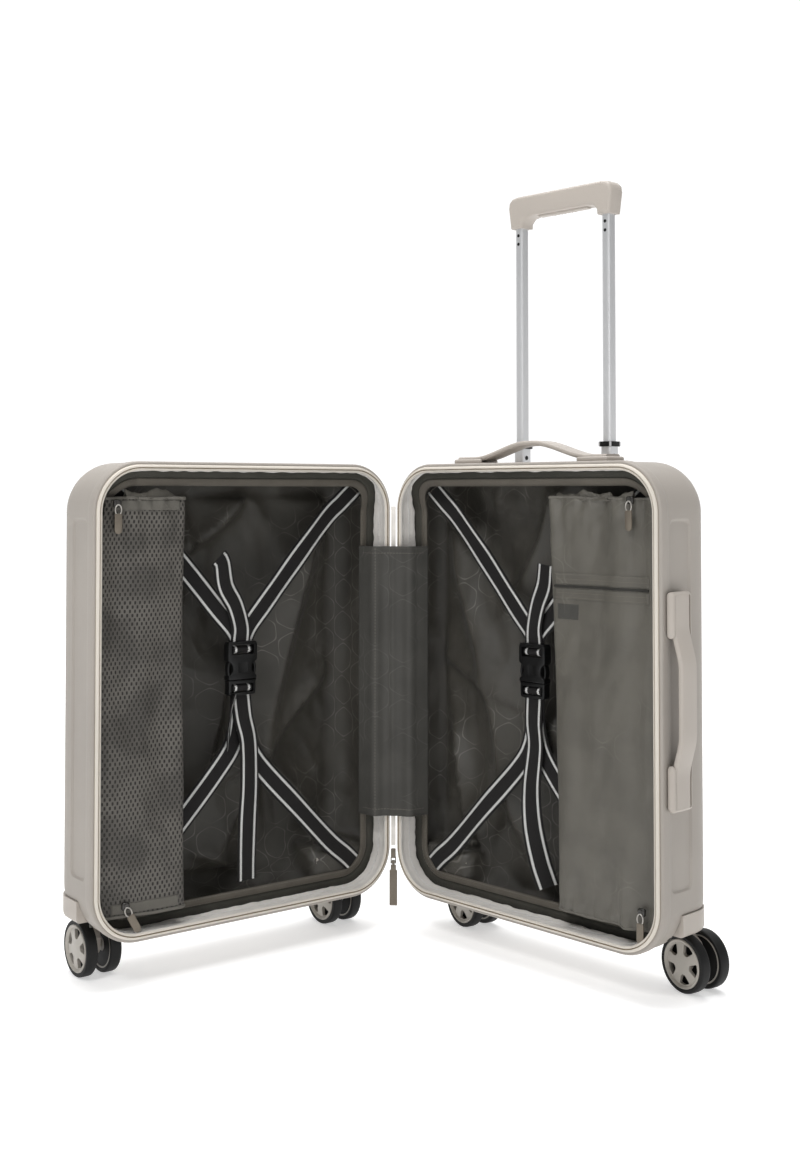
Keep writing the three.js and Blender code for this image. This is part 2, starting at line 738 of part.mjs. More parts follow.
function addCaster(parent, name, u, direction) {
  const group = new THREE.Group();
  group.position.set(u, SWIVEL_DEPTH, 0);
  group.rotation.z = direction;
  parent.add(group);
  piece(`caster_fork_${name}`, fork(), CREAM_TRIM, group);
  const sides = { a: 1, b: -1 };
  for (const [letter, side] of Object.entries(sides)) {
    const wheel = new THREE.Group();
    wheel.position.set(TRAIL, 0, WHEEL_RADIUS);
    wheel.rotation.z = side > 0 ? 0 : Math.PI;
    group.add(wheel);
    piece(`tyre_${name}_${letter}`, tyre(), RUBBER, wheel);
    piece(`hub_${name}_${letter}`, hub(), HUB_PLASTIC, wheel);
  }
}

// Everything that both halves have. The casters trail in the direction trailing, from +u towards +d.
function addHalf(parent, side, { windows, extraBlocks, dividerU, dividerMaterial, trailing }) {
  piece(`${side}_shell`, shell(windows), CREAM, parent);
  piece(`${side}_zip_tape`, zipTape(), ZIP_CREAM, parent);
  piece(`${side}_lining`, lining(side, extraBlocks), LINING_FABRIC, parent);
  piece(`${side}_divider`, divider(dividerU), dividerMaterial, parent);
  for (const end of ["upper", "lower"]) {
    piece(`${side}_strap_${end}`, strapPair(end), WEBBING, parent);
  }
  piece(`${side}_buckle_socket`, buckleSocket(), BLACK_PLASTIC, parent);
  piece(`${side}_buckle_plug`, bucklePlug(), BLACK_PLASTIC, parent);
  piece(`caster_housing_${side}_outer`, casterHousing(), CREAM_TRIM, parent);
  const mirrored = piece(`caster_housing_${side}_hinge`, casterHousing(), CREAM_TRIM, parent);
  mirrored.position.x = WIDTH;
  mirrored.scale.x = -1;
  addCaster(parent, `${side}_outer`, WIDTH - SWIVEL_INSET, trailing);
  addCaster(parent, `${side}_hinge`, SWIVEL_INSET, trailing);
}

const suitcase = new THREE.Group();

const backHalf = new THREE.Group();
backHalf.position.set(HINGE_OFFSET, ZIP_GAP / 2, 0);
suitcase.add(backHalf);
addHalf(backHalf, "back", {
  windows: [trayOpening(FIT_GAP)],
  extraBlocks: (margin) => [trayOpening(FIT_GAP + 3 + margin)],
  dividerU: 236,
  dividerMaterial: LINING_FABRIC,
  trailing: THREE.MathUtils.degToRad(-10),
});

const frontPivot = new THREE.Group();
frontPivot.rotation.z = -OPEN_ANGLE;
suitcase.add(frontPivot);
const frontHalf = new THREE.Group();
frontHalf.position.set(HINGE_OFFSET, -ZIP_GAP / 2, 0);
frontHalf.scale.y = -1;
frontPivot.add(frontHalf);
addHalf(frontHalf, "front", {
  windows: [],
  dividerU: 275,
  dividerMaterial: MESH_FABRIC,
  trailing: THREE.MathUtils.degToRad(-90),
});

// Trolley and handles belong to the back half.
const trolley = new THREE.Group();
trolley.position.set(MID_U, TUBE_DEPTH, 0);
backHalf.add(trolley);
const BRACKET = { z0: 66, z1: 81, halfLength: 78, front: -9, back: 5.4 };
const outerTube = tube(OUTER_TUBE, BRACKET.z1 + FIT_GAP, TRAY.floor - TRAY.floorThickness - FIT_GAP);
for (const [name, side] of Object.entries({ left: -1, right: 1 })) {
  const leg = new THREE.Group();
  leg.position.x = (side * TUBE_SPACING) / 2;
  trolley.add(leg);
  piece(`trolley_outer_tube_${name}`, outerTube, ALUMINIUM, leg);
  piece(`trolley_middle_tube_${name}`, middleTube(), ALUMINIUM, leg);
  piece(`trolley_upper_tube_${name}`, upperTube(), ALUMINIUM, leg);
}
const { z0, z1, halfLength, front, back } = BRACKET;
piece("trolley_base_bracket", block(-halfLength, halfLength, front, back, z0, z1), BLACK_PLASTIC, trolley);
piece("trolley_grip", grip(), CREAM_TRIM, trolley);
piece("trolley_release_button", releaseButton(), CREAM_TRIM, trolley);
piece("trolley_tray", trolleyTray(), CREAM_TRIM, backHalf);

piece("side_handle", sideHandle(), CREAM_TRIM, backHalf);
piece("side_handle_socket_upper", sideSocket(1), CREAM_TRIM, backHalf);
piece("side_handle_socket_lower", sideSocket(-1), CREAM_TRIM, backHalf);
piece("top_handle", topHandle(), CREAM_TRIM, backHalf);
piece("top_handle_socket_left", topSocket(-1), CREAM_TRIM, backHalf);
piece("top_handle_socket_right", topSocket(1), CREAM_TRIM, backHalf);

// The hinge pieces face the middle of the opening.
const hingeFacing = new THREE.Group();
hingeFacing.rotation.z = Math.PI / 2 - OPEN_ANGLE / 2;
suitcase.add(hingeFacing);
piece("hinge_tape", hingeTape().rotateZ(Math.PI / 2), ZIP_CREAM, hingeFacing);
piece("zip_slider", zipSlider(), TAUPE_METAL, hingeFacing);
piece("zip_puller", zipPuller(), TAUPE_METAL, hingeFacing);
piece("hinge_flap", hingeFlap(), LINING_FABRIC, suitcase);

// Stand the whole on the floor, centred on the origin.
const bounds = new THREE.Box3().setFromObject(suitcase, true);
const centre = bounds.getCenter(new THREE.Vector3());
suitcase.position.set(-centre.x, -centre.y, -bounds.min.z);

export default suitcase;
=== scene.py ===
"""Looks of the cabin suitcase: its soft and finely moulded pieces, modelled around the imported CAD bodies.

Pieces are drawn in millimetres in the frame of the half that carries them: u runs along the width from the
hinge side, d from the rim plane to the back of the tray, z up from the floor. Half.place() turns that into
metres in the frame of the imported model.
"""

import json
import math

import bmesh
import bpy
import numpy as np
from mathutils import Matrix, Vector, noise
from mathutils.bvhtree import BVHTree


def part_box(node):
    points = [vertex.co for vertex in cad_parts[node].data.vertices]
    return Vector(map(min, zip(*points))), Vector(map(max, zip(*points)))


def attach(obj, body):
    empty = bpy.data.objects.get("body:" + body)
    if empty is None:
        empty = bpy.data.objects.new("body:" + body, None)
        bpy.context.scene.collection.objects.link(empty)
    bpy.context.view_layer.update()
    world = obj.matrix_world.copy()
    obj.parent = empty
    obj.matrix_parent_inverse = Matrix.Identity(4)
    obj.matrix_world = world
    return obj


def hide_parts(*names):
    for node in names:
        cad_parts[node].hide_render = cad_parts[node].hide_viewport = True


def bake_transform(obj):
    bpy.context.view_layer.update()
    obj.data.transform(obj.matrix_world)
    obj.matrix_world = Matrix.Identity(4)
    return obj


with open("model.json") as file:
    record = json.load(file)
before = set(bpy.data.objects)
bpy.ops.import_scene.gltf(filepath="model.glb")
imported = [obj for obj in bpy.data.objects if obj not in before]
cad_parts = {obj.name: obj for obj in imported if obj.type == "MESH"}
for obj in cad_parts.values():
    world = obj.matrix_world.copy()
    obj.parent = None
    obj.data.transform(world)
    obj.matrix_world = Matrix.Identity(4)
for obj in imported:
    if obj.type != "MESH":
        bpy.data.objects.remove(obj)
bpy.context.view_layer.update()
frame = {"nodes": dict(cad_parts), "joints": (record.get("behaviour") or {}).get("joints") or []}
NODES = frame["nodes"]
JOINTS = {j["name"]: j for j in frame["joints"]}

MM = 0.001
OPEN_ANGLE = math.radians(JOINTS["case_hinge"]["range_deg"][1])
HINGE = Vector(JOINTS["case_hinge"]["pos_m"])
HINGE_OFFSET = 1
HALF_GAP = 4
WIDTH = 385
DEPTH = 95
TOP = 550
BOTTOM = 46
OUTLINE_RADIUS = 54
EDGE_RADIUS = 36
MID_U = WIDTH / 2
MID_Z = (TOP + BOTTOM) / 2
POCKET_WIDTH = 83
POCKET_FRONT = 33
POCKET_TOP = 90
BEHIND_CASE = (-0.723, 0.691, 0)

bpy.context.scene.view_settings.view_transform = "Standard"
# Without a seed, noise_vector would start from the clock.
NOISE_SEED = 1
noise.seed_set(NOISE_SEED)


# ---- Camera ----
# from_hinge is in metres, from the hinge axis at floor level.
CAMERA = {"lens": 44.06, "shift_y": -0.118, "from_hinge": (1.245, -1.179, 0.517), "pitch_deg": 1.78}


def add_camera():
    """The viewpoint, set out from the hinge, looking past the case and slightly up."""
    data = bpy.data.cameras.new("camera")
    data.sensor_width = 36
    data.lens = CAMERA["lens"]
    data.shift_y = CAMERA["shift_y"]
    camera = bpy.data.objects.new("camera", data)
    bpy.context.scene.collection.objects.link(camera)
    bpy.context.scene.camera = camera
    camera.location = Vector((HINGE.x, HINGE.y, 0)) + Vector(CAMERA["from_hinge"])
    pitch = math.radians(CAMERA["pitch_deg"])
    look = Vector(BEHIND_CASE).normalized() * math.cos(pitch) + Vector((0, 0, math.sin(pitch)))
    camera.rotation_mode = "QUATERNION"
    camera.rotation_quaternion = look.to_track_quat("-Z", "Y")


add_camera()


# ---- Materials ----
class NodeTree:
    """A node tree, built with short calls."""

    def __init__(self, tree):
        self.tree = tree

    def node(self, kind, inputs=None, **settings):
        node = self.tree.nodes.new(kind)
        for key, value in settings.items():
            setattr(node, key, value)
        for key, value in (inputs or {}).items():
            self.feed(value, node.inputs[key])
        return node

    def feed(self, value, socket):
        """Links an output, or sets a plain value."""
        if isinstance(value, bpy.types.NodeSocket):
            self.tree.links.new(value, socket)
        else:
            socket.default_value = value

    def math(self, operation, a, b=0.0):
        return self.node("ShaderNodeMath", {0: a, 1: b}, operation=operation).outputs[0]

    def ramp(self, value, low, high, to_low=0.0, to_high=1.0, **settings):
        inputs = {"Value": value, "From Min": low, "From Max": high, "To Min": to_low, "To Max": to_high}
        return self.node("ShaderNodeMapRange", inputs, **settings).outputs[0]

    def between(self, value, low, high, to_low=0.0, to_high=1.0):
        """to_low where value is below low, to_high above high, smooth in between."""
        return self.ramp(value, low, high, to_low, to_high, interpolation_type="SMOOTHSTEP")


class Shading(NodeTree):
    """A material's node tree."""

    def __init__(self, name, color, roughness, metallic=0.0, sheen=0.0, specular=0.5):
        self.material = bpy.data.materials.new(name)
        self.material.use_nodes = True
        super().__init__(self.material.node_tree)
        self.surface = self.tree.nodes["Principled BSDF"]
        self.surface.inputs["Base Color"].default_value = (*color, 1)
        self.surface.inputs["Roughness"].default_value = roughness
        self.surface.inputs["Metallic"].default_value = metallic
        self.surface.inputs["Sheen Weight"].default_value = sheen
        self.surface.inputs["Specular IOR Level"].default_value = specular
        self.height = None

    def coordinates(self, kind="Object", scale=(1, 1, 1)):
        source = self.node("ShaderNodeTexCoord").outputs[kind]
        return self.node("ShaderNodeMapping", {"Vector": source, "Scale": scale}).outputs["Vector"]

    def noise(self, scale, detail=2.0, vector=None):
        inputs = {"Vector": vector or self.coordinates(), "Scale": scale, "Detail": detail}
        return self.node("ShaderNodeTexNoise", inputs).outputs[0]

    def vary_color(self, factor, first, second):
        """Mixes two colours into the base colour. The first may be the output of an earlier mix."""
        mix = self.node("ShaderNodeMix", {0: factor}, data_type="RGBA")
        for slot, value in ((6, first), (7, second)):
            self.feed((*value, 1) if isinstance(value, tuple) else value, mix.inputs[slot])
        self.feed(mix.outputs[2], self.surface.inputs["Base Color"])
        return mix.outputs[2]

    def vary_roughness(self, factor, low, high):
        self.feed(self.ramp(factor, 0, 1, low, high), self.surface.inputs["Roughness"])

    def bump(self, height, distance, strength=1.0):
        inputs = {"Height": height, "Distance": distance, "Strength": strength}
        if self.height is not None:
            inputs["Normal"] = self.height
        self.height = self.node("ShaderNodeBump", inputs).outputs[0]
        self.feed(self.height, self.surface.inputs["Normal"])

    def wave(self, vector, axis_scale):
        """A cosine wave along the direction and frequency of axis_scale, a vector in cycles per unit."""
        inputs = {0: vector, 1: tuple(math.tau * c for c in axis_scale)}
        dot = self.node("ShaderNodeVectorMath", inputs, operation="DOT_PRODUCT")
        return self.math("COSINE", dot.outputs["Value"])

    def honeycomb(self, vector, pitch):
        """Three crossed waves: 3 at the centres of a hexagonal grid, -1.5 on its walls."""
        turns = [k * math.tau / 3 for k in range(3)]
        waves = [self.wave(vector, (math.cos(a) / pitch, math.sin(a) / pitch, 0)) for a in turns]
        return self.math("ADD", self.math("ADD", waves[0], waves[1]), waves[2])


def shades(color, spread):
    """The colour a little darker and a little lighter."""
    return tuple(c * (1 - spread) for c in color), tuple(min(1, c * (1 + spread)) for c in color)


def moulded_plastic(name, color, roughness, grain, grain_scale=1400, spread=0.03, specular=0.5):
    """Moulded plastic: a fine grain, and slow changes of tone and gloss over the part."""
    s = Shading(name, color, roughness, specular=specular)
    s.vary_color(s.between(s.noise(9, 3), 0.3, 0.7), *shades(color, spread))
    s.vary_roughness(s.noise(60, 2), roughness - 0.06, roughness + 0.08)
    s.bump(s.noise(grain_scale, 2), grain)
    return s.material


def brushed_metal(name, color, roughness):
    s = Shading(name, color, roughness, metallic=0.85)
    streaks = s.noise(1, 3, s.coordinates(scale=(3000, 3000, 12)))
    s.vary_roughness(streaks, roughness - 0.08, roughness + 0.14)
    s.vary_color(s.noise(25, 2), *shades(color, 0.04))
    s.bump(streaks, 0.00002)
    return s.material


def lacquered_metal(name, color, roughness):
    s = Shading(name, color, roughness, metallic=0.6)
    s.vary_color(s.noise(300, 3), *shades(color, 0.12))
    s.bump(s.noise(900, 2), 0.00003)
    return s.material


def woven(s, vector, threads, depth):
    """Over-and-under weave of two thread directions, at threads per metre."""
    weave = s.math("MULTIPLY", s.wave(vector, (threads, 0, 0)), s.wave(vector, (0, threads, 0)))
    s.bump(weave, depth)


def lining_cloth(name, color, print_strength, roughness=0.5, specular=0.3):
    """Satin cloth with a fine weave, small creases and a faint printed lattice that comes and goes."""
    s = Shading(name, color, roughness, sheen=0.04, specular=specular)
    uv = s.coordinates("UV")
    cells = s.honeycomb(uv, 0.034)
    lines = s.math("SUBTRACT", 1.0, s.between(s.math("ABSOLUTE", s.math("ADD", cells, 0.88)), 0.03, 0.11))
    patches = s.between(s.noise(11, 2), 0.42, 0.56)
    mark = s.math("MULTIPLY", lines, s.math("MULTIPLY", patches, print_strength))
    tone = s.vary_color(s.between(s.noise(30, 3), 0.3, 0.7), *shades(color, 0.1))
    s.vary_color(mark, tone, tuple(c * 2 + 0.04 for c in color))
    s.vary_roughness(s.noise(40, 3), roughness - 0.07, roughness + 0.1)
    woven(s, uv, 1600, 0.00005)
    s.bump(s.noise(110, 4), 0.0008, 0.5)
    return s.material


def mesh_cloth(name, color, lining_and_shade_in_holes):
    """Netting of crossed threads, its holes on a diamond lattice painted dark for the lining behind them in
    painted shade.
    """
    s = Shading(name, color, 0.55, sheen=0.05, specular=0.3)
    uv = s.coordinates("UV")
    along, across = 1 / NET_PITCH[0], 1 / NET_PITCH[1]
    holes = s.math("ADD", s.wave(uv, (along, across, 0)), s.wave(uv, (along, -across, 0)))
    open_part = s.between(holes, 0.1, 1.0)
    lighter = s.vary_color(s.between(s.noise(24, 2), 0.35, 0.65), *shades(color, 0.25))
    # The holes get a dark colour: the lining seen through the net, darkened as painted shade.
    s.vary_color(open_part, lighter, lining_and_shade_in_holes)
    s.bump(open_part, -0.0006)
    s.bump(s.noise(70, 3), 0.001, 0.5)
    return s.material


def webbing_cloth(name, color, line):
    """Webbing with a ragged pale line near each edge. UV x is 0 to 1 across it, UV y metres along it."""
    s = Shading(name, color, 0.65, sheen=0.05, specular=0.2)
    uv = s.coordinates("UV")
    across = s.node("ShaderNodeSeparateXYZ", {0: uv}).outputs[0]
    mirrored = s.math("ABSOLUTE", s.math("SUBTRACT", across, 0.5))
    ragged = s.math("MULTIPLY", s.wave(uv, (0, 480, 0)), 0.012)
    edge = s.math("ABSOLUTE", s.math("SUBTRACT", s.math("ADD", mirrored, ragged), 0.34))
    stripe = s.math("SUBTRACT", 1.0, s.between(edge, 0.044, 0.066))
    threads = s.between(s.noise(1500, 1), 0.2, 0.8)
    pale = s.math("MULTIPLY", stripe, s.math("ADD", s.math("MULTIPLY", threads, 0.4), 0.6))
    s.vary_color(pale, color, line)
    ribs = s.math("MULTIPLY", s.wave(uv, (0, 700, 0)), s.wave(uv, (14, 0, 0)))
    s.bump(ribs, 0.00016)
    s.bump(stripe, 0.0003)
    return s.material


def tape_cloth(name, color):
    s = Shading(name, color, 0.6, sheen=0.04, specular=0.3)
    uv = s.coordinates("UV")
    s.vary_color(s.between(s.noise(50, 3), 0.35, 0.65), *shades(color, 0.05))
    woven(s, uv, 1100, 0.0001)
    s.bump(s.noise(160, 3), 0.0007, 0.4)
    return s.material


def stitched_thread(name, color):
    s = Shading(name, color, 0.6, specular=0.3)
    s.bump(s.noise(2500, 2), 0.0001)
    s.vary_color(s.noise(400, 2), *shades(color, 0.15))
    return s.material


NET_PITCH = (0.0052, 0.009)
CREAM = moulded_plastic("shell_matte_cream", (0.35, 0.32, 0.288), 0.52, 0.00014, 1100, specular=0.3)
TRIM = moulded_plastic("trim_satin_cream", (0.42, 0.38, 0.34), 0.42, 0.00004, specular=0.35)
BEAD = moulded_plastic("rim_cream_bead", (0.62, 0.575, 0.51), 0.5, 0.00004, specular=0.3)
CREASE = moulded_plastic("rim_tan_crease", (0.30, 0.245, 0.175), 0.6, 0.00005, specular=0.2)
ZIP_CREAM = tape_cloth("zip_tape_cream", (0.74, 0.71, 0.67))
COIL = stitched_thread("zip_coil_pale", (0.74, 0.73, 0.72))
LINING = lining_cloth("lining_olive_satin", (0.048, 0.044, 0.036), 0.8, 0.36, 0.5)
LEDGE = lining_cloth("lining_band_olive", (0.042, 0.040, 0.032), 0.0, 0.6)
DIVIDER_CLOTH = lining_cloth("divider_olive_satin", (0.100, 0.093, 0.077), 0.3, 0.36, 0.5)
FLAP_CLOTH = lining_cloth("flap_olive_satin", (0.058, 0.056, 0.050), 0.3, 0.5)
# The second colour is the lining seen through the holes, darkened with painted shade.
MESH_CLOTH = mesh_cloth("mesh_olive", (0.094, 0.087, 0.077), (0.020, 0.018, 0.015))
BINDING = tape_cloth("binding_taupe", (0.11, 0.098, 0.080))
PIPING = tape_cloth("piping_olive", (0.115, 0.108, 0.093))
CORD = tape_cloth("pocket_coil_dark", (0.022, 0.021, 0.018))
THREAD = stitched_thread("thread_taupe", (0.17, 0.155, 0.13))
WEBBING = webbing_cloth("webbing_black_striped", (0.010, 0.009, 0.009), (0.72, 0.72, 0.70))
BLACK = moulded_plastic("buckle_black", (0.006, 0.006, 0.006), 0.36, 0.00004, 2200, specular=0.25)
RUBBER = moulded_plastic("tyre_black", (0.008, 0.008, 0.008), 0.55, 0.00005, 1500, specular=0.25)
HUB = moulded_plastic("hub_pale_grey", (0.40, 0.375, 0.335), 0.38, 0.00003)
ALUMINIUM = brushed_metal("tube_aluminium", (0.72, 0.725, 0.735), 0.32)
TAUPE = lacquered_metal("zip_taupe", (0.17, 0.145, 0.115), 0.4)
DARK_METAL = lacquered_metal("zip_dark_chrome", (0.05, 0.048, 0.045), 0.25)
NICKEL = lacquered_metal("zip_nickel", (0.42, 0.40, 0.37), 0.3)


# ---- Halves of the case ----
class Half:
    """One half of the case, with the matrix from its own millimetres to metres in the frame."""

    def __init__(self, name):
        self.name = name
        self.body = name + "_half"
        self.mirrored = name == "front"
        self.seed = 6.0 if self.mirrored else 2.0
        sign = -1 if self.mirrored else 1
        shift = Matrix.Translation((HINGE_OFFSET * MM, sign * HALF_GAP * MM, 0))
        turn = Matrix.Rotation(-OPEN_ANGLE if self.mirrored else 0, 4, "Z")
        hinge = Matrix.Translation((HINGE.x, HINGE.y, 0))
        self.matrix = hinge @ turn @ shift @ Matrix.Diagonal((MM, sign * MM, MM, 1))

    def place(self, point):
        return self.matrix @ Vector(point)


BACK = Half("back")
FRONT = Half("front")


# ---- Mesh building ----
def finish_mesh(name, bm, half, material, smooth=40):
    """Turns a bmesh in a half's millimetres into an object in metres, with smooth shading up to an angle."""
    matrix = half.matrix if half else Matrix.Scale(MM, 4)
    bm.transform(matrix)
    if half and half.mirrored:
        bmesh.ops.reverse_faces(bm, faces=bm.faces)
    mesh = bpy.data.meshes.new(name)
    bm.to_mesh(mesh)
    bm.free()
    mesh.polygons.foreach_set("use_smooth", [True] * len(mesh.polygons))
    mesh.set_sharp_from_angle(angle=math.radians(smooth))
    for m in material if isinstance(material, (list, tuple)) else [material]:
        mesh.materials.append(m)
    obj = bpy.data.objects.new(name, mesh)
    bpy.context.scene.collection.objects.link(obj)
    return obj


def finish_part(name, bm, half, material, body, node=None, smooth=40, thickness=None):
    """A finished piece on its body, the CAD node it replaces and, for cloth, its thickness."""
    piece = finish_mesh(name, bm, half, material, smooth)
    if thickness:
        piece.modifiers.new("thickness", "SOLIDIFY").thickness = thickness * MM
        apply_modifiers(piece)
    if body:
        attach(piece, body)
    if node:
        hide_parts(node)
    return piece


def add_grid(bm, points, close_rows=False, close_cols=False, uv=None):
    """points is rows x columns x 3, uv rows x columns x 2 in metres. Returns the vertices by row."""
    rows, cols = points.shape[:2]
    verts = [[bm.verts.new(points[r, c]) for c in range(cols)] for r in range(rows)]
    layer = bm.loops.layers.uv.verify()
    for r in range(rows if close_rows else rows - 1):
        for c in range(cols if close_cols else cols - 1):
            r1, c1 = (r + 1) % rows, (c + 1) % cols
            face = bm.faces.new((verts[r][c], verts[r][c1], verts[r1][c1], verts[r1][c]))
            if uv is not None:
                corners = ((r, c), (r, c + 1), (r + 1, c + 1), (r + 1, c))
                for loop, (i, j) in zip(face.loops, corners):
                    i, j = min(i, uv.shape[0] - 1), min(j, uv.shape[1] - 1)
                    loop[layer].uv = uv[i, j]
    return verts


def close_ends(bm, rows):
    """Closes the first and the last ring of vertices of a grid."""
    bm.faces.new(rows[0][::-1])
    bm.faces.new(rows[-1])


def grid_uv(across, along):
    """UV in metres for a grid with its columns at across and its rows at along, in millimetres."""
    return np.stack(np.broadcast_arrays(across[None, :], along[:, None]), axis=-1) * MM


def add_box(bm, lo, hi, bevel=0.0, segments=3, material=0):
    """A box with rounded edges."""
    made = bmesh.ops.create_cube(bm, size=1)["verts"]
    bmesh.ops.scale(bm, vec=Vector(hi) - Vector(lo), verts=made)
    if bevel:
        edges = list({e for v in made for e in v.link_edges})
        result = bmesh.ops.bevel(bm, geom=edges, offset=bevel, segments=segments, profile=0.5, affect="EDGES")
        made = list({v for f in result["faces"] for v in f.verts} | {v for v in made if v.is_valid})
    bmesh.ops.translate(bm, vec=(Vector(lo) + Vector(hi)) / 2, verts=made)
    for face in {f for v in made for f in v.link_faces}:
        face.material_index = material


def add_rod(bm, start, end, radius, sides=16, radius_end=None):
    start, end = Vector(start), Vector(end)
    along = end - start
    far = radius if radius_end is None else radius_end
    matrix = Matrix.Translation((start + end) / 2) @ along.to_track_quat("Z", "Y").to_matrix().to_4x4()
    sizes = {"segments": sides, "radius1": radius, "radius2": far, "depth": along.length}
    bmesh.ops.create_cone(bm, cap_ends=True, matrix=matrix, **sizes)


def sweep(bm, path, profile, normals, uv_across=None):
    """Carries a closed profile of (side, out) points along path. normals are the out directions along it."""
    path = np.array(path, float)
    tangents = np.gradient(path, axis=0)
    tangents /= np.linalg.norm(tangents, axis=1)[:, None]
    sides = np.cross(tangents, np.array(normals, float))
    sides /= np.linalg.norm(sides, axis=1)[:, None]
    outs = np.cross(sides, tangents)
    profile = np.array(profile, float)
    points = path[:, None] + sides[:, None] * profile[None, :, 0:1] + outs[:, None] * profile[None, :, 1:2]
    uv = None
    if uv_across is not None:
        uv = grid_uv(np.append(uv_across, uv_across[0]) / MM, travelled(path))
    close_ends(bm, add_grid(bm, points, close_cols=True, uv=uv))


def rounded_profile(width, height, radius, steps=3):
    """Points of a rounded rectangle about the origin, anticlockwise."""
    x, y = width / 2 - radius, height / 2 - radius
    points = []
    for quarter, (sx, sy) in enumerate(((1, 1), (-1, 1), (-1, -1), (1, -1))):
        for i in range(steps + 1):
            a = (quarter + i / steps) * math.pi / 2
            points.append((sx * x + radius * math.cos(a), sy * y + radius * math.sin(a)))
    return points


def circle_profile(radius, sides):
    turns = np.linspace(0, math.tau, sides, endpoint=False)
    return [(radius * math.cos(a), radius * math.sin(a)) for a in turns]


def cloth_grid(points, uv):
    """An open sheet of cloth with its UV map."""
    bm = bmesh.new()
    add_grid(bm, points, uv=uv)
    bmesh.ops.recalc_face_normals(bm, faces=bm.faces)
    return bm


def travelled(path):
    """Distance along a path at each of its points."""
    return np.concatenate([[0], np.cumsum(np.linalg.norm(np.diff(path, axis=0), axis=1))])


def point_at(x, distance, path):
    """The values of path, a table with a row for each distance, at distance x."""
    return np.array([np.interp(x, distance, column) for column in path.T])


def spline(points, count):
    """Smooth curve through points, evenly spaced."""
    points = np.array(points, float)
    padded = np.vstack([2 * points[0] - points[1], points, 2 * points[-1] - points[-2]])
    out = []
    for p0, p1, p2, p3 in zip(padded, padded[1:], padded[2:], padded[3:]):
        bend = 2 * p0 - 5 * p1 + 4 * p2 - p3
        pull = 3 * p1 - p0 - 3 * p2 + p3
        for t in np.linspace(0, 1, 24, endpoint=False):
            out.append(0.5 * (2 * p1 + (p2 - p0) * t + bend * t**2 + pull * t**3))
    out = np.array(out + [points[-1]])
    distance = travelled(out)
    even = np.linspace(0, distance[-1], count)
    return np.stack([np.interp(even, distance, column) for column in out.T], axis=1)


def capped_grid(rows):
    """A closed form from rings of points, one row for each ring."""
    bm = bmesh.new()
    close_ends(bm, add_grid(bm, np.array(rows), close_cols=True))
    bmesh.ops.recalc_face_normals(bm, faces=bm.faces)
    return bm


def smoothstep(x, low, high):
    t = np.clip((x - low) / (high - low), 0, 1)
    return t * t * (3 - 2 * t)


def cut_with(obj, cutter):
    """Takes a cutter's volume out of a mesh, for good."""
    modifier = obj.modifiers.new("cut", "BOOLEAN")
    modifier.object = cutter
    modifier.operation = "DIFFERENCE"
    modifier.solver = "EXACT"
    apply_modifiers(obj)
    bpy.data.objects.remove(cutter)


def cut_box(obj, lo, hi, bevel):
    """Takes a box with rounded edges out of a mesh."""
    bm = bmesh.new()
    add_box(bm, lo, hi, bevel, 4)
    cut_with(obj, finish_mesh("cutter", bm, None, CREAM))


def as_half_mesh(obj):
    """The object's mesh in millimetres again. The object is removed."""
    bm = bmesh.new()
    bm.from_mesh(obj.data)
    bm.transform(Matrix.Scale(1 / MM, 4))
    bpy.data.objects.remove(obj)
    return bm


def apply_modifiers(obj):
    depsgraph = bpy.context.evaluated_depsgraph_get()
    mesh = bpy.data.meshes.new_from_object(obj.evaluated_get(depsgraph))
    obj.modifiers.clear()
    obj.data = mesh


# ---- Outline of the case ----
def outline_frame(side_levels, top_levels, arc_steps):
    """Core points and outward normals round the case, anticlockwise from the foot of the outer side."""
    core, normal = [], []
    u1, u0 = WIDTH - OUTLINE_RADIUS, OUTLINE_RADIUS
    z0, z1 = BOTTOM + OUTLINE_RADIUS, TOP - OUTLINE_RADIUS
    runs = [
        ([(u1, z) for z in side_levels], (1, 0), (u1, z1), 0),
        ([(u, z1) for u in reversed(top_levels)], (0, 1), (u0, z1), 1),
        ([(u0, z) for z in reversed(side_levels)], (-1, 0), (u0, z0), 2),
        ([(u, z0) for u in top_levels], (0, -1), (u1, z0), 3),
    ]
    for points, n, centre, quarter in runs:
        for p in points:
            core.append(p)
            normal.append(n)
        for i in range(1, arc_steps):
            a = (quarter + i / arc_steps) * math.pi / 2
            core.append(centre)
            normal.append((math.cos(a), math.sin(a)))
    return np.array(core, float), np.array(normal, float)


def ring(core, normal, inset, d):
    """The outline moved in by inset, at depth d. Past its corner radius it shrinks to a point."""
    turn = OUTLINE_RADIUS - 4
    offset = core + normal * (OUTLINE_RADIUS - min(inset, turn))
    if inset > turn:
        centre = np.array([MID_U, MID_Z])
        share = 1 - (inset - turn) / (MID_U - turn)
        offset = centre + (offset - centre) * max(share, 0.02)
    return np.stack([offset[:, 0], np.full(len(offset), float(d)), offset[:, 1]], axis=1)


def levels(low, high, step, fine=(), fine_step=0.9, reach=4.0):
    """Evenly spaced values, with closer ones near each value in fine."""
    values = set(np.linspace(low, high, max(2, round((high - low) / step) + 1)))
    for f in fine:
        values |= set(np.arange(f - reach, f + reach + 0.01, fine_step))
    kept = sorted(v for v in values if low <= v <= high)
    out = [kept[0]]
    for v in kept[1:]:
        if v - out[-1] > 0.4:
            out.append(v)
    out[-1] = high
    return out


# ---- Shells ----
PANEL = {"d": (16.5, 50.5), "z": (114, 489), "radius": 7, "depth": 1.9}
FLANGE = {"end": 11.5, "step": 1.1}
BACK_PANEL = {"inset": 50, "depth": 1.2}


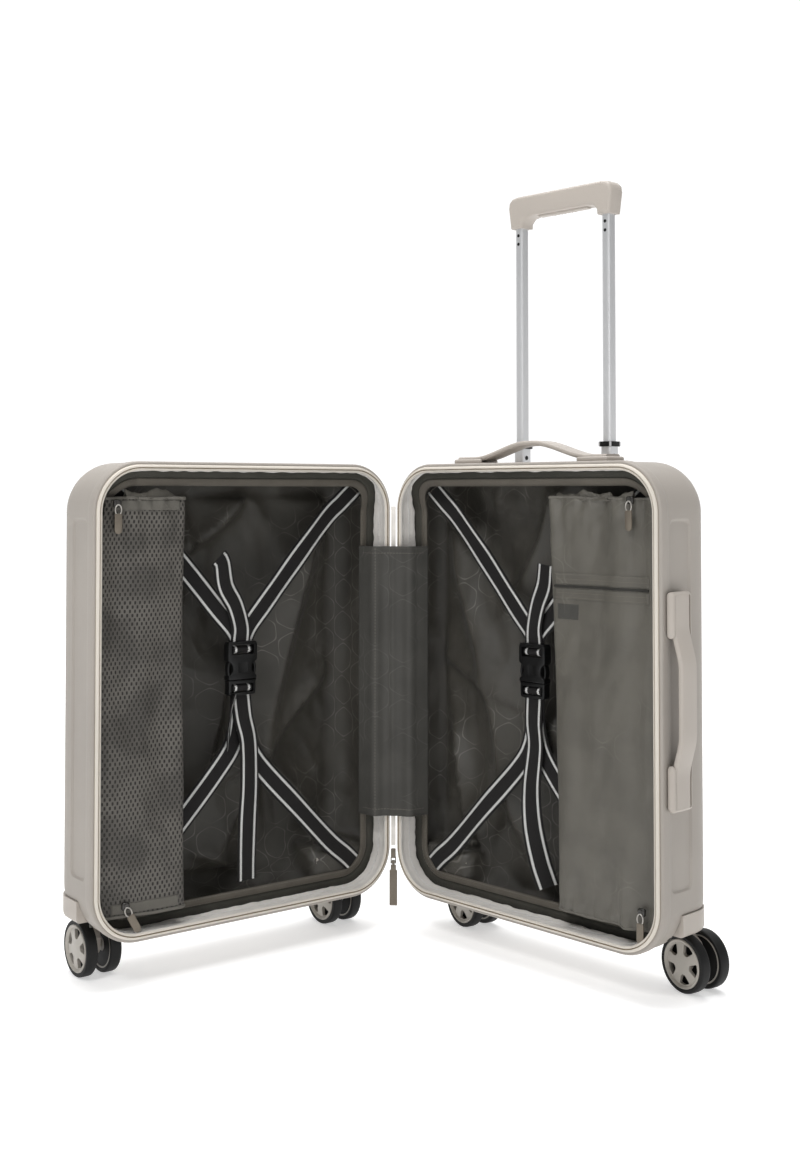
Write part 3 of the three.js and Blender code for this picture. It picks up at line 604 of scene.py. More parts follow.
def panel_mask(d, z):
    """1 inside the long sunk panel on the case's side, 0 outside, with a soft step between."""
    (d0, d1), (z0, z1), r = PANEL["d"], PANEL["z"], PANEL["radius"]
    qd = np.abs(d - (d0 + d1) / 2) - (d1 - d0) / 2 + r
    qz = np.abs(z - (z0 + z1) / 2) - (z1 - z0) / 2 + r
    outside = np.hypot(np.maximum(qd, 0), np.maximum(qz, 0)) + np.minimum(np.maximum(qd, qz), 0) - r
    return 1 - smoothstep(outside, -1.3, 1.0)


def shell_profile():
    """(inset, d) from the middle of the back panel round the rim to the inside of the back."""
    body = FLANGE["step"]
    profile = [(i, DEPTH) for i in (190, 150, 100, 70)]
    profile += [(BACK_PANEL["inset"] + x, DEPTH) for x in (3, 1.5, 0.5, -0.5, -1.5, -3)]
    profile += [(42, DEPTH)]
    for i in range(11):
        a = i / 10 * math.pi / 2
        turned = (EDGE_RADIUS - body) * (1 - math.sin(a))
        profile.append((body + turned, DEPTH - EDGE_RADIUS * (1 - math.cos(a))))
    fine = levels(FLANGE["end"] + 3, 56, 6, fine=PANEL["d"], fine_step=0.8, reach=2.0)
    profile += [(body, d) for d in reversed(fine)]
    end = FLANGE["end"]
    profile += [(body * 0.9, end + 1.6), (body * 0.5, end + 0.7), (body * 0.12, end), (0, end - 1.2)]
    profile += [(0, 6), (0, 3), (0.3, 1.4), (1.0, 0.4), (2.2, 0), (6.4, 0), (7, 0.6), (7, 5.6), (6.5, 6)]
    profile += [(4.2, 6.6), (4.2, 20), (4.2, 40), (4.2, DEPTH - EDGE_RADIUS)]
    for i in range(1, 6):
        a = (1 - i / 5) * math.pi / 2
        inset = 4.2 + (EDGE_RADIUS - 4.2) * (1 - math.sin(a))
        profile.append((inset, DEPTH - 3 - (EDGE_RADIUS - 3) * (1 - math.cos(a))))
    profile += [(100, DEPTH - 3), (190, DEPTH - 3)]
    return profile


def make_shell(half):
    side = levels(100, 496, 22, fine=PANEL["z"], fine_step=0.9, reach=8)
    core, normal = outline_frame(side, levels(54, 331, 22), 18)
    rows = []
    for inset, d in shell_profile():
        row = ring(core, normal, inset, d)
        if inset == FLANGE["step"]:
            flat = np.abs(normal[:, 0]) == 1
            row[flat, 0] -= normal[flat, 0] * PANEL["depth"] * panel_mask(d, row[flat, 2])
        if inset >= BACK_PANEL["inset"] and d == DEPTH:
            row[:, 1] -= BACK_PANEL["depth"]
        rows.append(row)
    shell = finish_mesh(f"{half.name}_shell_moulding", capped_grid(rows), None, CREAM)
    for u0, u1 in ((-40, POCKET_WIDTH), (WIDTH - POCKET_WIDTH, WIDTH + 40)):
        cut_box(shell, (u0, POCKET_FRONT, -20), (u1, DEPTH + 40, POCKET_TOP), 5)
    if half is BACK:
        cut_box(shell, (MID_U - 85.4, 64, 503.6), (MID_U + 85.4, DEPTH + 20, TOP + 30), 3)
    bm = as_half_mesh(shell)
    near_wall, far_wall = POCKET_WIDTH, WIDTH - POCKET_WIDTH
    for low, high, wall, inwards in ((14, near_wall, near_wall, 3), (far_wall, WIDTH - 14, far_wall, -3)):
        add_pocket_wall(bm, wall, wall + inwards)
        corner = (high, POCKET_FRONT - 0.2, POCKET_TOP)
        add_box(bm, (low, POCKET_FRONT - 3, BOTTOM + 15), corner, 0.8, material=1)
    for face in bm.faces:
        if face.normal.y > 0.9 and abs(face.calc_center_median().y - POCKET_FRONT) < 0.5:
            face.material_index = 0
    materials = [CREAM, LEDGE]
    node = f"{half.name}_shell"
    finish_part(f"{half.name}_shell_moulding", bm, half, materials, half.body, node, smooth=38)


def add_pocket_wall(bm, near, far):
    """Upright wall beside a wheel pocket. Seen from the side it follows the rounded edge of the shell."""
    outline = [(POCKET_FRONT - 3, POCKET_TOP), (POCKET_FRONT - 3, BOTTOM + 3)]
    reach = EDGE_RADIUS - 4
    centre_d, centre_z = DEPTH - EDGE_RADIUS, BOTTOM + EDGE_RADIUS
    for a in np.linspace(0, math.pi / 2, 9):
        outline.append((centre_d + reach * math.sin(a), centre_z - reach * math.cos(a)))
    outline.append((DEPTH - 4, POCKET_TOP))
    sides = [[bm.verts.new((u, d, z)) for d, z in outline] for u in (near, far)]
    loops = [sides[0], sides[1][::-1]]
    for i in range(len(outline)):
        j = (i + 1) % len(outline)
        loops.append([sides[1][i], sides[1][j], sides[0][j], sides[0][i]])
    faces = [bm.faces.new(loop) for loop in loops]
    bmesh.ops.recalc_face_normals(bm, faces=faces)
    faces[1].material_index = 1


for half in (BACK, FRONT):
    make_shell(half)


# ---- Rim: bead, zip tape and its teeth ----
def wobble(seed, positions, scale, amount):
    return np.array([noise.noise((p * scale, seed, 0.37)) for p in positions]) * amount


def top_share(points):
    """1 along the top side of the rim and 0 along the others."""
    return smoothstep(points[..., 2], 492, 534)


COIL_ROW = 13


def make_zip_tape(half):
    """The zip's tape: a bead along the rim with a tan crease, then a soft lap down inside with its coil."""
    core, normal = outline_frame(levels(100, 496, 3), levels(54, 331, 3), 22)
    base = ring(core, normal, 6, 0)
    around = travelled(base)
    seed = 3.1 if half is BACK else 8.4
    lap = wobble(seed, around, 0.035, 2.2) + wobble(seed + 2, around, 0.16, 1.1)
    crease, bead, cloth = 1, 2, 0
    profile = [(3.4, -0.4, crease), (3.5, -1.0, bead), (4.2, -2.8, bead), (5.2, -3.4, bead)]
    profile += [(6.4, -3.5, crease), (6.8, -2.2, crease), (7.4, -2.2, bead), (7.8, -3.4, bead)]
    profile += [(8.8, -3.3, bead)]
    lap_side = [(9.9, -1.8), (10.0, 0.0), (9.3, 1.4), (9.0, 6), (9.1, 12), (9.6, 17), (10.4, 20.6)]
    shell_side = [(10.0, 22.2), (8.4, 22.3), (7.9, 10), (7.9, -0.4)]
    profile += [(inset, d, cloth) for inset, d in lap_side + shell_side]
    rows = []
    for k, (inset, d, _) in enumerate(profile):
        row = ring(core, normal, inset, d)
        share = smoothstep(np.array([d]), 6, 20)[0]
        row[:, 1] -= share * (1.2 + lap)
        row[:, 1] -= 0.84 * top_share(row) * max(d - 1.4, 0)
        ripple = wobble(k * 0.12 + seed, around, 0.09, 1.0) * smoothstep(np.array([d]), 2, 16)[0]
        row[:, [0, 2]] -= normal * ripple[:, None]
        rows.append(row)
    bm = bmesh.new()
    points = np.array(rows)
    uv = grid_uv(np.append(around, around[-1] + 3), travelled(np.array(profile)[:, :2]))
    add_grid(bm, points, close_rows=True, close_cols=True, uv=uv)
    for index, face in enumerate(bm.faces):
        face.material_index = profile[index // len(base)][2]
    bmesh.ops.recalc_face_normals(bm, faces=bm.faces)
    materials = [ZIP_CREAM, CREASE, BEAD]
    node = f"{half.name}_zip_tape"
    finish_part(f"{node}_cloth", bm, half, materials, half.body, node, smooth=60)
    make_coil(half, points[COIL_ROW], normal)


def make_coil(half, path, normal):
    """The zip's coil, a fine zigzag of nylon along the lap."""
    closed = np.vstack([path, path[:1]])
    inward = np.vstack([normal, normal[:1]])
    distance = travelled(closed)
    bm = bmesh.new()
    for i, s in enumerate(np.arange(1, distance[-1], 2.4)):
        lift = point_at(s, distance, inward) * -0.45
        slope = 0.8 if i % 2 else -0.8
        start = point_at(s, distance, closed) + (lift[0], -slope, lift[1])
        end = point_at(s + 1.5, distance, closed) + (lift[0], slope, lift[1])
        add_rod(bm, start, end, 0.42, 5)
    finish_part(f"{half.name}_zip_coil", bm, half, COIL, half.body, smooth=60)


def make_stitches(name, half, path, spacing, length, body):
    """A row of short raised stitches along a path of points."""
    path = np.array(path, float)
    distance = travelled(path)
    bm = bmesh.new()
    for s in np.arange(spacing / 2, distance[-1], spacing):
        start, end = (point_at(x, distance, path) for x in (s - length / 2, s + length / 2))
        add_rod(bm, start, end, 0.3, 5)
    return finish_part(name, bm, half, THREAD, body, smooth=60)


for half in (BACK, FRONT):
    make_zip_tape(half)


# ---- Lining ----
# LINING_BACK is the depth of each bag's bottom and LINING_EDGE the radius of the turn down to it.
LINING_BACK = {"back": 70.5, "front": 90}
LINING_EDGE = {"back": 13, "front": 29}


def push_out(points, boxes):
    """Moves points in a box to its nearest face. A box is (low, high), open where a bound is None."""
    for lo, hi in boxes:
        depths = []
        for axis in range(3):
            for bound, sign in ((lo[axis], -1), (hi[axis], 1)):
                if bound is not None:
                    depths.append((sign * (bound - points[..., axis]), axis, bound))
        stack = np.stack([x[0] for x in depths])
        inside = (stack > 0).all(axis=0)
        nearest = stack.argmin(axis=0)
        for k, (_, axis, bound) in enumerate(depths):
            chosen = inside & (nearest == k)
            points[..., axis][chosen] = bound
    return points


def creases(points, seed, scale, stretch):
    """Small soft folds, from about -0.2 to 1 at each point."""
    out = np.empty(len(points))
    for i, p in enumerate(points):
        q = Vector((p[0] * stretch[0] * scale + seed, p[1] * stretch[1] * scale, p[2] * stretch[2] * scale))
        q = q + noise.noise_vector(q * 0.7) * 0.6
        out[i] = (1 - abs(noise.noise(q * 1.3)) * 2.2) * 0.7 + noise.noise(q * 3.1) * 0.22
    return out


def pulled_folds(points, lines):
    """Long folds across the bag's bottom, each steep on one side. A line is (start, end, height, width)."""
    total = np.zeros(len(points))
    for (u0, z0), (u1, z1), height, width in lines:
        along = np.array([u1 - u0, z1 - z0], float)
        length = np.linalg.norm(along)
        along /= length
        offset = points[:, [0, 2]] - np.array([u0, z0])
        t = offset @ along / length
        side = offset @ np.array([-along[1], along[0]])
        bend = 14 * np.sin(t * 5 + u0)
        side = side + bend * 0.4
        reach = np.where(side > 0, width, width * 0.35)
        ends = smoothstep(t, -0.12, 0.2) * smoothstep(t, 1.12, 0.8)
        total += FOLD_HEIGHT * height * np.exp(-np.abs(side / reach) ** 1.2) * ends
    return total


FOLD_HEIGHT = 1.8
FOLDS = {
    "back": [
        ((40, 470), (150, 120), 17, 38),
        ((20, 330), (230, 230), 11, 26),
        ((60, 130), (225, 250), 13, 24),
        ((215, 520), (120, 370), 12, 28),
        ((250, 500), (215, 90), 8, 15),
        ((30, 240), (90, 90), 9, 18),
        ((290, 430), (300, 100), 9, 30),
    ],
    "front": [
        ((42, 500), (200, 90), 19, 42),
        ((30, 300), (210, 180), 12, 26),
        ((150, 520), (250, 440), 14, 24),
        ((60, 120), (150, 235), 13, 22),
        ((240, 500), (265, 90), 9, 14),
        ((175, 330), (245, 130), 10, 26),
        ((120, 60), (230, 105), 8, 14),
    ],
}
SEAMS = {
    "back": [[(218, 500), (222, 400), (226, 300), (222, 190), (216, 70)]],
    "front": [
        [(262, 500), (266, 420), (262, 330), (254, 240), (262, 150), (250, 62)],
        [(276, 505), (272, 400), (268, 300), (270, 200), (274, 80)],
    ],
}


def lining_profile(floor, edge):
    """(inset, d) from the band's outer edge, over the zip seam and the binding, down to the bag's bottom."""
    band = [(4.6, 22.6), (7, 22.9), (10, 23.9), (13, 24.4), (16.4, 24.7), (17.0, 25.9), (17.7, 26.0)]
    binding = [(18.2, 24.9), (20, 24.4), (23, 24.3), (25.4, 24.6), (26.2, 25.7), (25.4, 27.2)]
    under = [(21, 29), (14, 31.5), (10, 35)]
    wall = [(7.2, d) for d in np.arange(38, floor - edge, 4)]
    turn = []
    for i in range(1, 7):
        a = i / 6 * math.pi / 2
        turn.append((7.2 + edge * (1 - math.cos(a)), floor - edge * (1 - math.sin(a))))
    bottom = [(7.2 + edge + x, floor) for x in np.arange(4, 186 - edge, 4.2)]
    materials = [1] * len(band) + [2] * (len(binding) - 1)
    return band + binding + under + wall + turn + bottom, materials, len(band + binding + under), len(wall)


def drape_over(points, blocks, first, rounds=70):
    """Spreads the bag evenly over what sticks up into it, such as the wheel pockets."""
    far = 50
    near = np.zeros(points.shape[:2])
    for lo, hi in blocks:
        gap = np.zeros(points.shape[:2])
        for axis in range(3):
            low = -1e6 if lo[axis] is None else lo[axis]
            high = 1e6 if hi[axis] is None else hi[axis]
            over = np.maximum(low - points[..., axis], points[..., axis] - high)
            gap = np.maximum(gap, over)
        near = np.maximum(near, smoothstep(gap, far, far * 0.5))
    weight = near[first:-1, :, None] * 0.8
    points = push_out(points, blocks)
    for _ in range(rounds):
        inner = points[first:-1]
        around = np.roll(inner, 1, 1) + np.roll(inner, -1, 1)
        average = (points[first - 1 : -2] + points[first + 1 :] + around) / 4
        points[first:-1] = inner + (average - inner) * weight
        points = push_out(points, blocks)
    return points


STRAP_CLEARANCE = 33


def make_lining(half):
    core, normal = outline_frame(levels(100, 496, 4.5), levels(54, 331, 4.5), 20)
    floor = LINING_BACK[half.name]
    edge = LINING_EDGE[half.name]
    profile, band_materials, soft_from, wall_rows = lining_profile(floor, edge)
    points = np.array([ring(core, normal, inset, d) for inset, d in profile])
    rows_down = np.arange(len(profile))
    points[..., 1] -= 18 * top_share(points) * smoothstep(rows_down, soft_from, soft_from - 3)[:, None]
    blocks = [
        ((None, 27, None), (92, None, 99)),
        ((WIDTH - 92, 27, None), (None, None, 99)),
    ]
    if half is BACK:
        blocks.append(((MID_U - 90, 60.5, 499.5), (MID_U + 90, None, None)))
    unrolled = points[..., [0, 2]] + normal[None] * (floor - points[..., 1:2])
    points = drape_over(points, blocks, soft_from)
    deep = points[soft_from:]
    flat = deep.reshape(-1, 3)
    row_index = np.repeat(np.arange(deep.shape[0]), deep.shape[1]).astype(float)
    seed = 4.0 if half is BACK else 11.0
    small = np.clip(creases(flat, seed, 0.011, (1, 0.6, 0.75)), -0.2, 1) * 6
    small += np.clip(creases(flat, seed + 20, 0.026, (1, 0.5, 0.5)), -0.2, 1) * 2.2
    large = pulled_folds(flat, FOLDS[half.name])
    lean = smoothstep(row_index, wall_rows, wall_rows + 7)
    height = small * smoothstep(row_index, 1, 6) + large * lean
    room = np.maximum(flat[:, 1] - STRAP_CLEARANCE, 0)
    limit = room + (1 - lean) * 20 + 0.1
    height = np.where(lean > 0, limit * np.tanh(height / limit), height)
    outwards = np.tile(normal, (deep.shape[0], 1))
    side = np.stack([-outwards[:, 0], np.zeros(len(flat)), -outwards[:, 1]], axis=1)
    direction = side * (1 - lean)[:, None] + np.array([0, -1, 0]) * lean[:, None]
    points[soft_from:] = (flat + direction * height[:, None]).reshape(deep.shape)
    points = push_out(points, blocks)
    ledge = points[:4]
    ledge[..., 1] += wobble(seed, np.arange(ledge.shape[1]) * 4.5, 0.02, 1.2)[None, :]
    uv = np.concatenate([unrolled, unrolled[:, :1]], axis=1) * MM
    bm = bmesh.new()
    verts = add_grid(bm, points, close_cols=True, uv=uv)
    for index, face in enumerate(bm.faces):
        row = index // points.shape[1]
        face.material_index = band_materials[row] if row < len(band_materials) else 0
    bm.faces.new(verts[-1])
    bmesh.ops.recalc_face_normals(bm, faces=bm.faces)
    bm.normal_update()
    if sum(f.normal.y for f in bm.faces if f.calc_center_median().y > floor - 12) > 0:
        bmesh.ops.reverse_faces(bm, faces=bm.faces)
    surface = BVHTree.FromBMesh(bm)
    materials = [LINING, LEDGE, BINDING]
    node = f"{half.name}_lining"
    lining = finish_part(f"{node}_cloth", bm, half, materials, half.body, node, smooth=75)
    for label, inset in (("outer", 18.9), ("inner", 24.6)):
        row = ring(core, normal, inset, 24.2)
        make_stitches(f"{half.name}_binding_{label}", half, np.vstack([row, row[:1]]), 3.6, 2.4, half.body)
    for k, seam in enumerate(SEAMS[half.name]):
        line = spline([(u, 0, z) for u, z in seam], 110)
        hits = [surface.ray_cast((p[0], 30, p[2]), (0, 1, 0))[0] for p in line]
        path = [(h.x, h.y - 0.2, h.z) for h in hits if h]
        make_stitches(f"{half.name}_lining_seam_{k + 1}", half, path, 4.4, 2.8, half.body)


for half in (BACK, FRONT):
    make_lining(half)


# ---- Straps ----
# The buckle spans BUCKLE_Z at depth BUCKLE_D. BARS are the heights of its two strap bars.
STRAP_WIDTH = 25
STRAP_PROFILE = rounded_profile(STRAP_WIDTH, 1.5, 0.7, 2)
STRAP_ACROSS = np.array([p[0] / STRAP_WIDTH + 0.5 for p in STRAP_PROFILE])
BUCKLE_Z = (289, 349)
BUCKLE_D = 29.5
BARS = {"upper": 340, "lower": 297}


def make_strap(half, label, routes):
    """Ribbons of webbing along smooth routes. A route is (points, facing directions at its ends)."""
    bm = bmesh.new()
    for k, (points, facing_start, facing_end) in enumerate(routes):
        path = spline(points, 70)
        t = np.linspace(0, 1, len(path))[:, None]
        turned = t**2
        facing = np.array(facing_start, float) * (1 - turned) + np.array(facing_end, float) * turned
        facing[:, 0] += wobble(k * 3.3, np.arange(len(path)) * 1.0, 0.06, 0.22)
        sweep(bm, path, STRAP_PROFILE, facing, uv_across=STRAP_ACROSS)
    middle = STRAPS[half.name]["mid"]
    around_bar = np.linspace(-0.3, math.pi + 0.3, 22) + math.pi
    offsets = [(0, 4.4 * math.sin(a), 3.6 * math.cos(a)) for a in around_bar]
    loop = [(middle, BUCKLE_D + y, BARS[label] + z) for _, y, z in offsets]
    sweep(bm, loop, STRAP_PROFILE, offsets, uv_across=STRAP_ACROSS)
    name = f"{half.name}_webbing_{label}"
    node = f"{half.name}_strap_{label}"
    finish_part(name, bm, half, WEBBING, half.body, node, smooth=50)


OUT = (0, -1, 0)
UPPER_ANCHOR = [(31, 29.5, 523), (52, 29.5, 505), (74, 29.5, 486)]
LOWER_ANCHOR = [(37, 25.6, 79), (49, 25.0, 90), (72, 26.2, 110)]


def strap_pair(anchor, left, right):
    """The two straps of a cross: each from its anchor, mirrored for the second, to the buckle."""
    return [anchor + left, [(WIDTH - u, d, z) for u, d, z in anchor] + right]


STRAPS = {
    "back": {
        "mid": 192,
        "upper": strap_pair(
            UPPER_ANCHOR,
            [(120, 29.5, 437), (165, 29, 386), (186, 29.5, 362), (190, 29.5, 348)],
            [(262, 29.5, 434), (218, 29, 384), (197, 29.8, 362), (193, 30, 348)],
        ),
        "upper_tail": [(192, 28, 349), (194, 25.5, 368), (200, 25, 392), (209, 25, 414), (212, 25, 437)],
        "lower": strap_pair(
            LOWER_ANCHOR,
            [(118, 27.2, 158), (165, 29, 206), (184, 29.5, 232), (191, 29.8, 262), (192, 30, 289)],
            [(266, 27.2, 158), (220, 29, 206), (200, 29.8, 234), (194, 30, 262), (193, 30.2, 289)],
        ),
        "lower_tail": [
            (192, 28, 289), (193, 25.6, 262), (196, 24.5, 235), (191, 24, 190),
            (193, 24, 150), (203, 24.6, 112), (214, 25.5, 86),
        ],
    },
    "front": {
        "mid": 190,
        "upper": strap_pair(
            UPPER_ANCHOR,
            [(120, 29.5, 434), (158, 29, 390), (178, 29.5, 366), (187, 29.5, 348)],
            [(262, 29.5, 434), (222, 29, 388), (200, 29.8, 364), (191, 30, 348)],
        ),
        "upper_tail": [
            (191, 28, 349), (192, 25.5, 366), (200, 24.5, 390),
            (213, 23.5, 412), (219, 21, 437), (224, 20, 444),
        ],
        "short_tail": [(196, 28, 289), (203, 27, 270), (206, 26.6, 250), (208, 26.4, 229)],
        "lower": strap_pair(
            LOWER_ANCHOR,
            [(118, 27.2, 158), (160, 29, 202), (178, 29.5, 228), (187, 29.8, 262), (189, 30, 289)],
            [(266, 27.2, 158), (222, 29, 204), (200, 29.8, 232), (192, 30, 262), (191, 30.2, 289)],
        ),
        "lower_tail": [
            (190, 28, 289), (188, 25.6, 264), (182, 24.5, 236), (181, 24, 190),
            (183, 24, 150), (184, 24.2, 112), (184, 24.6, 82),
        ],
    },
}

for half in (BACK, FRONT):
    plan = STRAPS[half.name]
    twist = (0.75, -0.6, 0.2) if half is BACK else OUT
    upper = [(p, OUT, OUT) for p in plan["upper"]] + [(plan["upper_tail"], OUT, OUT)]
    lower = [(p, OUT, OUT) for p in plan["lower"]] + [(plan["lower_tail"], OUT, twist)]
    if "short_tail" in plan:
        lower.append((plan["short_tail"], (-0.8, -0.6, 0), (-0.8, -0.6, 0)))
    make_strap(half, "upper", upper)
    make_strap(half, "lower", lower)


# ---- Buckles ----
def pushed(bm, corners, distance):
    """Extrudes a face along d by a distance. Returns the vertices of both ends."""
    verts = [bm.verts.new(corner) for corner in corners]
    made = bmesh.ops.extrude_face_region(bm, geom=[bm.faces.new(verts)])
    far = [v for v in made["geom"] if isinstance(v, bmesh.types.BMVert)]
    bmesh.ops.translate(bm, vec=(0, distance, 0), verts=far)
    return verts + far


def round_edges(bm, edges, radius, segments):
    sizes = {"offset": radius, "segments": segments, "profile": 0.5}
    bmesh.ops.bevel(bm, geom=edges, affect="EDGES", clamp_overlap=True, **sizes)


def extruded(bm, outline, low, high, bevel, segments=3):
    """A plate from an outline in (u, z), from d = low to d = high, with rounded edges."""
    own = set(pushed(bm, [(u, low, z) for u, z in outline], high - low))
    flat = [e for e in bm.edges if e.verts[0] in own and abs(e.verts[0].co.y - e.verts[1].co.y) < 0.01]
    round_edges(bm, flat, bevel, segments)


def mirrored_outline(right, middle, base):
    """Both halves of an outline from its right half, given from the bottom to the top."""
    pairs = right + [(-x, z) for x, z in reversed(right)]
    return [(middle + x, base + z) for x, z in pairs]


def arc(x, z, radius_x, radius_z, start, end, steps):
    angles = np.linspace(math.radians(start), math.radians(end), steps)
    return [(x + radius_x * math.cos(a), z + radius_z * math.sin(a)) for a in angles]


def add_buckle_part(half, name, outline, thickness, bevel, cuts, bar, arms, node):
    """A moulding with openings cut through it, then its strap bar and, on the plug, its arms."""
    mid = STRAPS[half.name]["mid"]
    z0 = BUCKLE_Z[0]
    bm = bmesh.new()
    extruded(bm, mirrored_outline(outline, mid, z0), BUCKLE_D - thickness, BUCKLE_D + thickness, bevel)
    moulding = finish_mesh("moulding", bm, None, BLACK)
    for reach, d_range, z_range, rounding in cuts:
        low = (mid - reach, BUCKLE_D + d_range[0], z0 + z_range[0])
        high = (mid + reach, BUCKLE_D + d_range[1], z0 + z_range[1])
        cut_box(moulding, low, high, rounding)
    bm = as_half_mesh(moulding)
    bar_z, bar_radius = bar
    add_rod(bm, (mid - 15, BUCKLE_D, bar_z), (mid + 15, BUCKLE_D, bar_z), bar_radius, 14)
    for sign in (-1, 1) if arms else ():
        extruded(bm, [(mid + sign * x, z0 + z) for x, z in arms], BUCKLE_D - 3.6, BUCKLE_D + 3.6, 1.0)
    if arms:
        bmesh.ops.recalc_face_normals(bm, faces=bm.faces)
    finish_part(name, bm, half, BLACK, half.body, node, smooth=35)


def make_buckle(half):
    """Side-release buckle: a body with round side openings and a plug with two arms. Each has a bar."""
    upper_bar, lower_bar = (BARS[label] - BUCKLE_Z[0] for label in ("upper", "lower"))
    body = [(17.6, 17.5), (18.4, 19.5)] + arc(20.5, 30, 8, 8.5, 250, 110, 12) + [(19, 40), (19, 57), (17, 60)]
    through = (-9, 9)
    openings = [
        (14.5, through, (upper_bar - 5.5, upper_bar + 5.5), 1.6),
        (6, (-9, -5.5), (25, 37), 0.3),
    ]
    name, node = f"{half.name}_buckle_body", f"{half.name}_buckle_socket"
    add_buckle_part(half, name, body, 6, 1.6, openings, (BARS["upper"], 2.6), None, node)
    plug = [(15.5, 0), (17.5, 2), (17.5, 15), (18.6, 17.2)]
    openings = [(14.5, through, (lower_bar - 5, lower_bar + 5), 1.6)]
    arms = arc(9.5, 29.5, 9.2, 14, -62, 62, 14) + arc(9.5, 29.5, 6.4, 12, 62, -62, 14)
    name, node = f"{half.name}_buckle_tongue", f"{half.name}_buckle_plug"
    add_buckle_part(half, name, plug, 5, 1.4, openings, (BARS["lower"], 2.4), arms, node)


for half in (BACK, FRONT):
    make_buckle(half)


# ---- Dividers ----
# Foot and top, outer edge, and the depths of the front and back layers.
DIVIDER_Z = (74, 511)
DIVIDER_OUTER_U = 373
DIVIDER_D = (5.0, 16.5)


def divider_section(inner_u):
    """The folded cloth from above, from the outer edge along the front, round the fold and back."""
    front, back = DIVIDER_D
    radius = (back - front) / 2
    section = [(u, front) for u in np.linspace(DIVIDER_OUTER_U, inner_u + radius, 60)]
    for a in np.linspace(0.25, math.pi - 0.25, 8):
        section.append((inner_u + radius - radius * math.sin(a), front + radius - radius * math.cos(a)))
    section += [(u, back) for u in np.linspace(inner_u + radius, DIVIDER_OUTER_U - 30, 30)]
    return np.array(section)


def divider_folds(u, z, seed, gathers):
    """Slow vertical folds, and tight crumples near the two ends of the cloth."""
    slow = 7.0 * noise.noise(Vector((u * 0.03 + seed, z * 0.005, 0.3)))
    slow += 1.1 * noise.noise(Vector((u * 0.06 - z * 0.02 + seed, z * 0.02, 1.3)))
    z0, z1 = DIVIDER_Z
    near_end = math.exp(-(z - z0) / 26) * gathers + math.exp(-(z1 - z) / 30)
    tight = noise.noise(Vector((u * 0.11 + seed, z * 0.035, 4.1)))
    tight += 0.6 * (0.5 - abs(noise.noise(Vector((u * 0.07 - z * 0.05, z * 0.06 + seed, 7.7)))))
    return slow + 4.2 * near_end * tight


def make_divider(half, inner_u, cloth, body, seed, slant, gathers):
    """Cloth folded back on itself: a front layer, a round fold at its inner edge, and a layer behind."""
    z0, z1 = DIVIDER_Z
    section = divider_section(inner_u)
    heights = np.linspace(z0, z1, 190)
    along = travelled(section)
    front_layer = np.arange(len(section)) < 64
    hold = smoothstep(section[:, 0], DIVIDER_OUTER_U, DIVIDER_OUTER_U - 14)
    share = smoothstep(section[:, 0], DIVIDER_OUTER_U, inner_u)
    rows = []
    for z in heights:
        row = np.stack([section[:, 0], section[:, 1], np.full(len(section), z)], axis=1)
        row[:, 0] += slant * (z1 - z) / (z1 - z0) * share
        pleats = np.array([divider_folds(u, z, seed, gathers) for u in section[:, 0]])
        row[:, 1] += np.where(front_layer, pleats, -0.4 * pleats) * hold
        corner = smoothstep(np.array([abs(z - (z0 + z1) / 2)]), 180, 218)[0]
        row[:, 0] -= corner * 6.5 * smoothstep(section[:, 0], DIVIDER_OUTER_U - 60, DIVIDER_OUTER_U)
        tucked = smoothstep(section[:, 0], DIVIDER_OUTER_U - 40, DIVIDER_OUTER_U - 12)
        row[:, 1] += corner * np.where(front_layer, 5.5, 0) * tucked
        row[:, 2] += wobble(seed + 9, section[:, 0], 0.03, 2.0) * (abs(z - (z0 + z1) / 2) / 218) ** 6
        rows.append(row)
    points = np.array(rows)
    bm = cloth_grid(points, grid_uv(along, heights))
    surface = BVHTree.FromBMesh(bm)
    node = f"{half.name}_divider"
    panel = finish_part(f"{node}_cloth", bm, half, cloth, body, node, smooth=80, thickness=0.9)
    return points, surface


def make_piping(half, points, body):
    """Corded edges round the top and bottom of a divider, and the loose cloth bunched up inside its top."""
    circle = circle_profile(1.8, 10)
    for label, row in (("top", points[-1]), ("bottom", points[0])):
        bm = bmesh.new()
        path = spline(row[::3], 150)
        sweep(bm, path, circle, np.tile(np.array([0, 0, 1.0]), (len(path), 1)))
        name = f"{half.name}_divider_piping_{label}"
        finish_part(name, bm, half, PIPING, body, smooth=60)
    front, back = DIVIDER_D
    us = np.linspace(points[-1][0][0] - 24, points[-1][:, 0].min() + 5, 70)
    rows = []
    for v in np.linspace(0, 1, 16):
        row = []
        for u in us:
            lump = noise.noise(Vector((u * 0.045, v * 1.7, half.seed)))
            lump += 0.3 * noise.noise(Vector((u * 0.13, v * 3, 1)))
            z = DIVIDER_Z[1] - 3 + math.sin(math.pi * v) * (8 + 9 * lump)
            row.append((u + 3 * lump, front + 1 + (back - front - 2) * v, max(z, DIVIDER_Z[1] - 6)))
        rows.append(row)
    bm = cloth_grid(np.array(rows), grid_uv(np.arange(70) * 1.5, np.arange(16)))
    name = f"{half.name}_divider_bunched_cloth"
    bunch = finish_part(name, bm, half, DIVIDER_CLOTH, body, smooth=80, thickness=0.8)


def on_panel(surface, u, z, lift):
    hit = surface.ray_cast((u, -30, z), (0, 1, 0))[0]
    return (u, hit.y - lift, z)


def make_patch(name, half, surface, u_range, z_range, lift, material):
    """A piece of cloth sewn onto the front of a half's divider."""
    us = np.linspace(*u_range, 40)
    zs = np.linspace(*z_range, 10)
    points = np.array([[on_panel(surface, u, z, lift) for u in us] for z in zs])
    bm = cloth_grid(points, grid_uv(us, zs))
    body = f"{half.name}_divider_panel"
    patch = finish_part(name, bm, half, material, body, smooth=80, thickness=0.6)


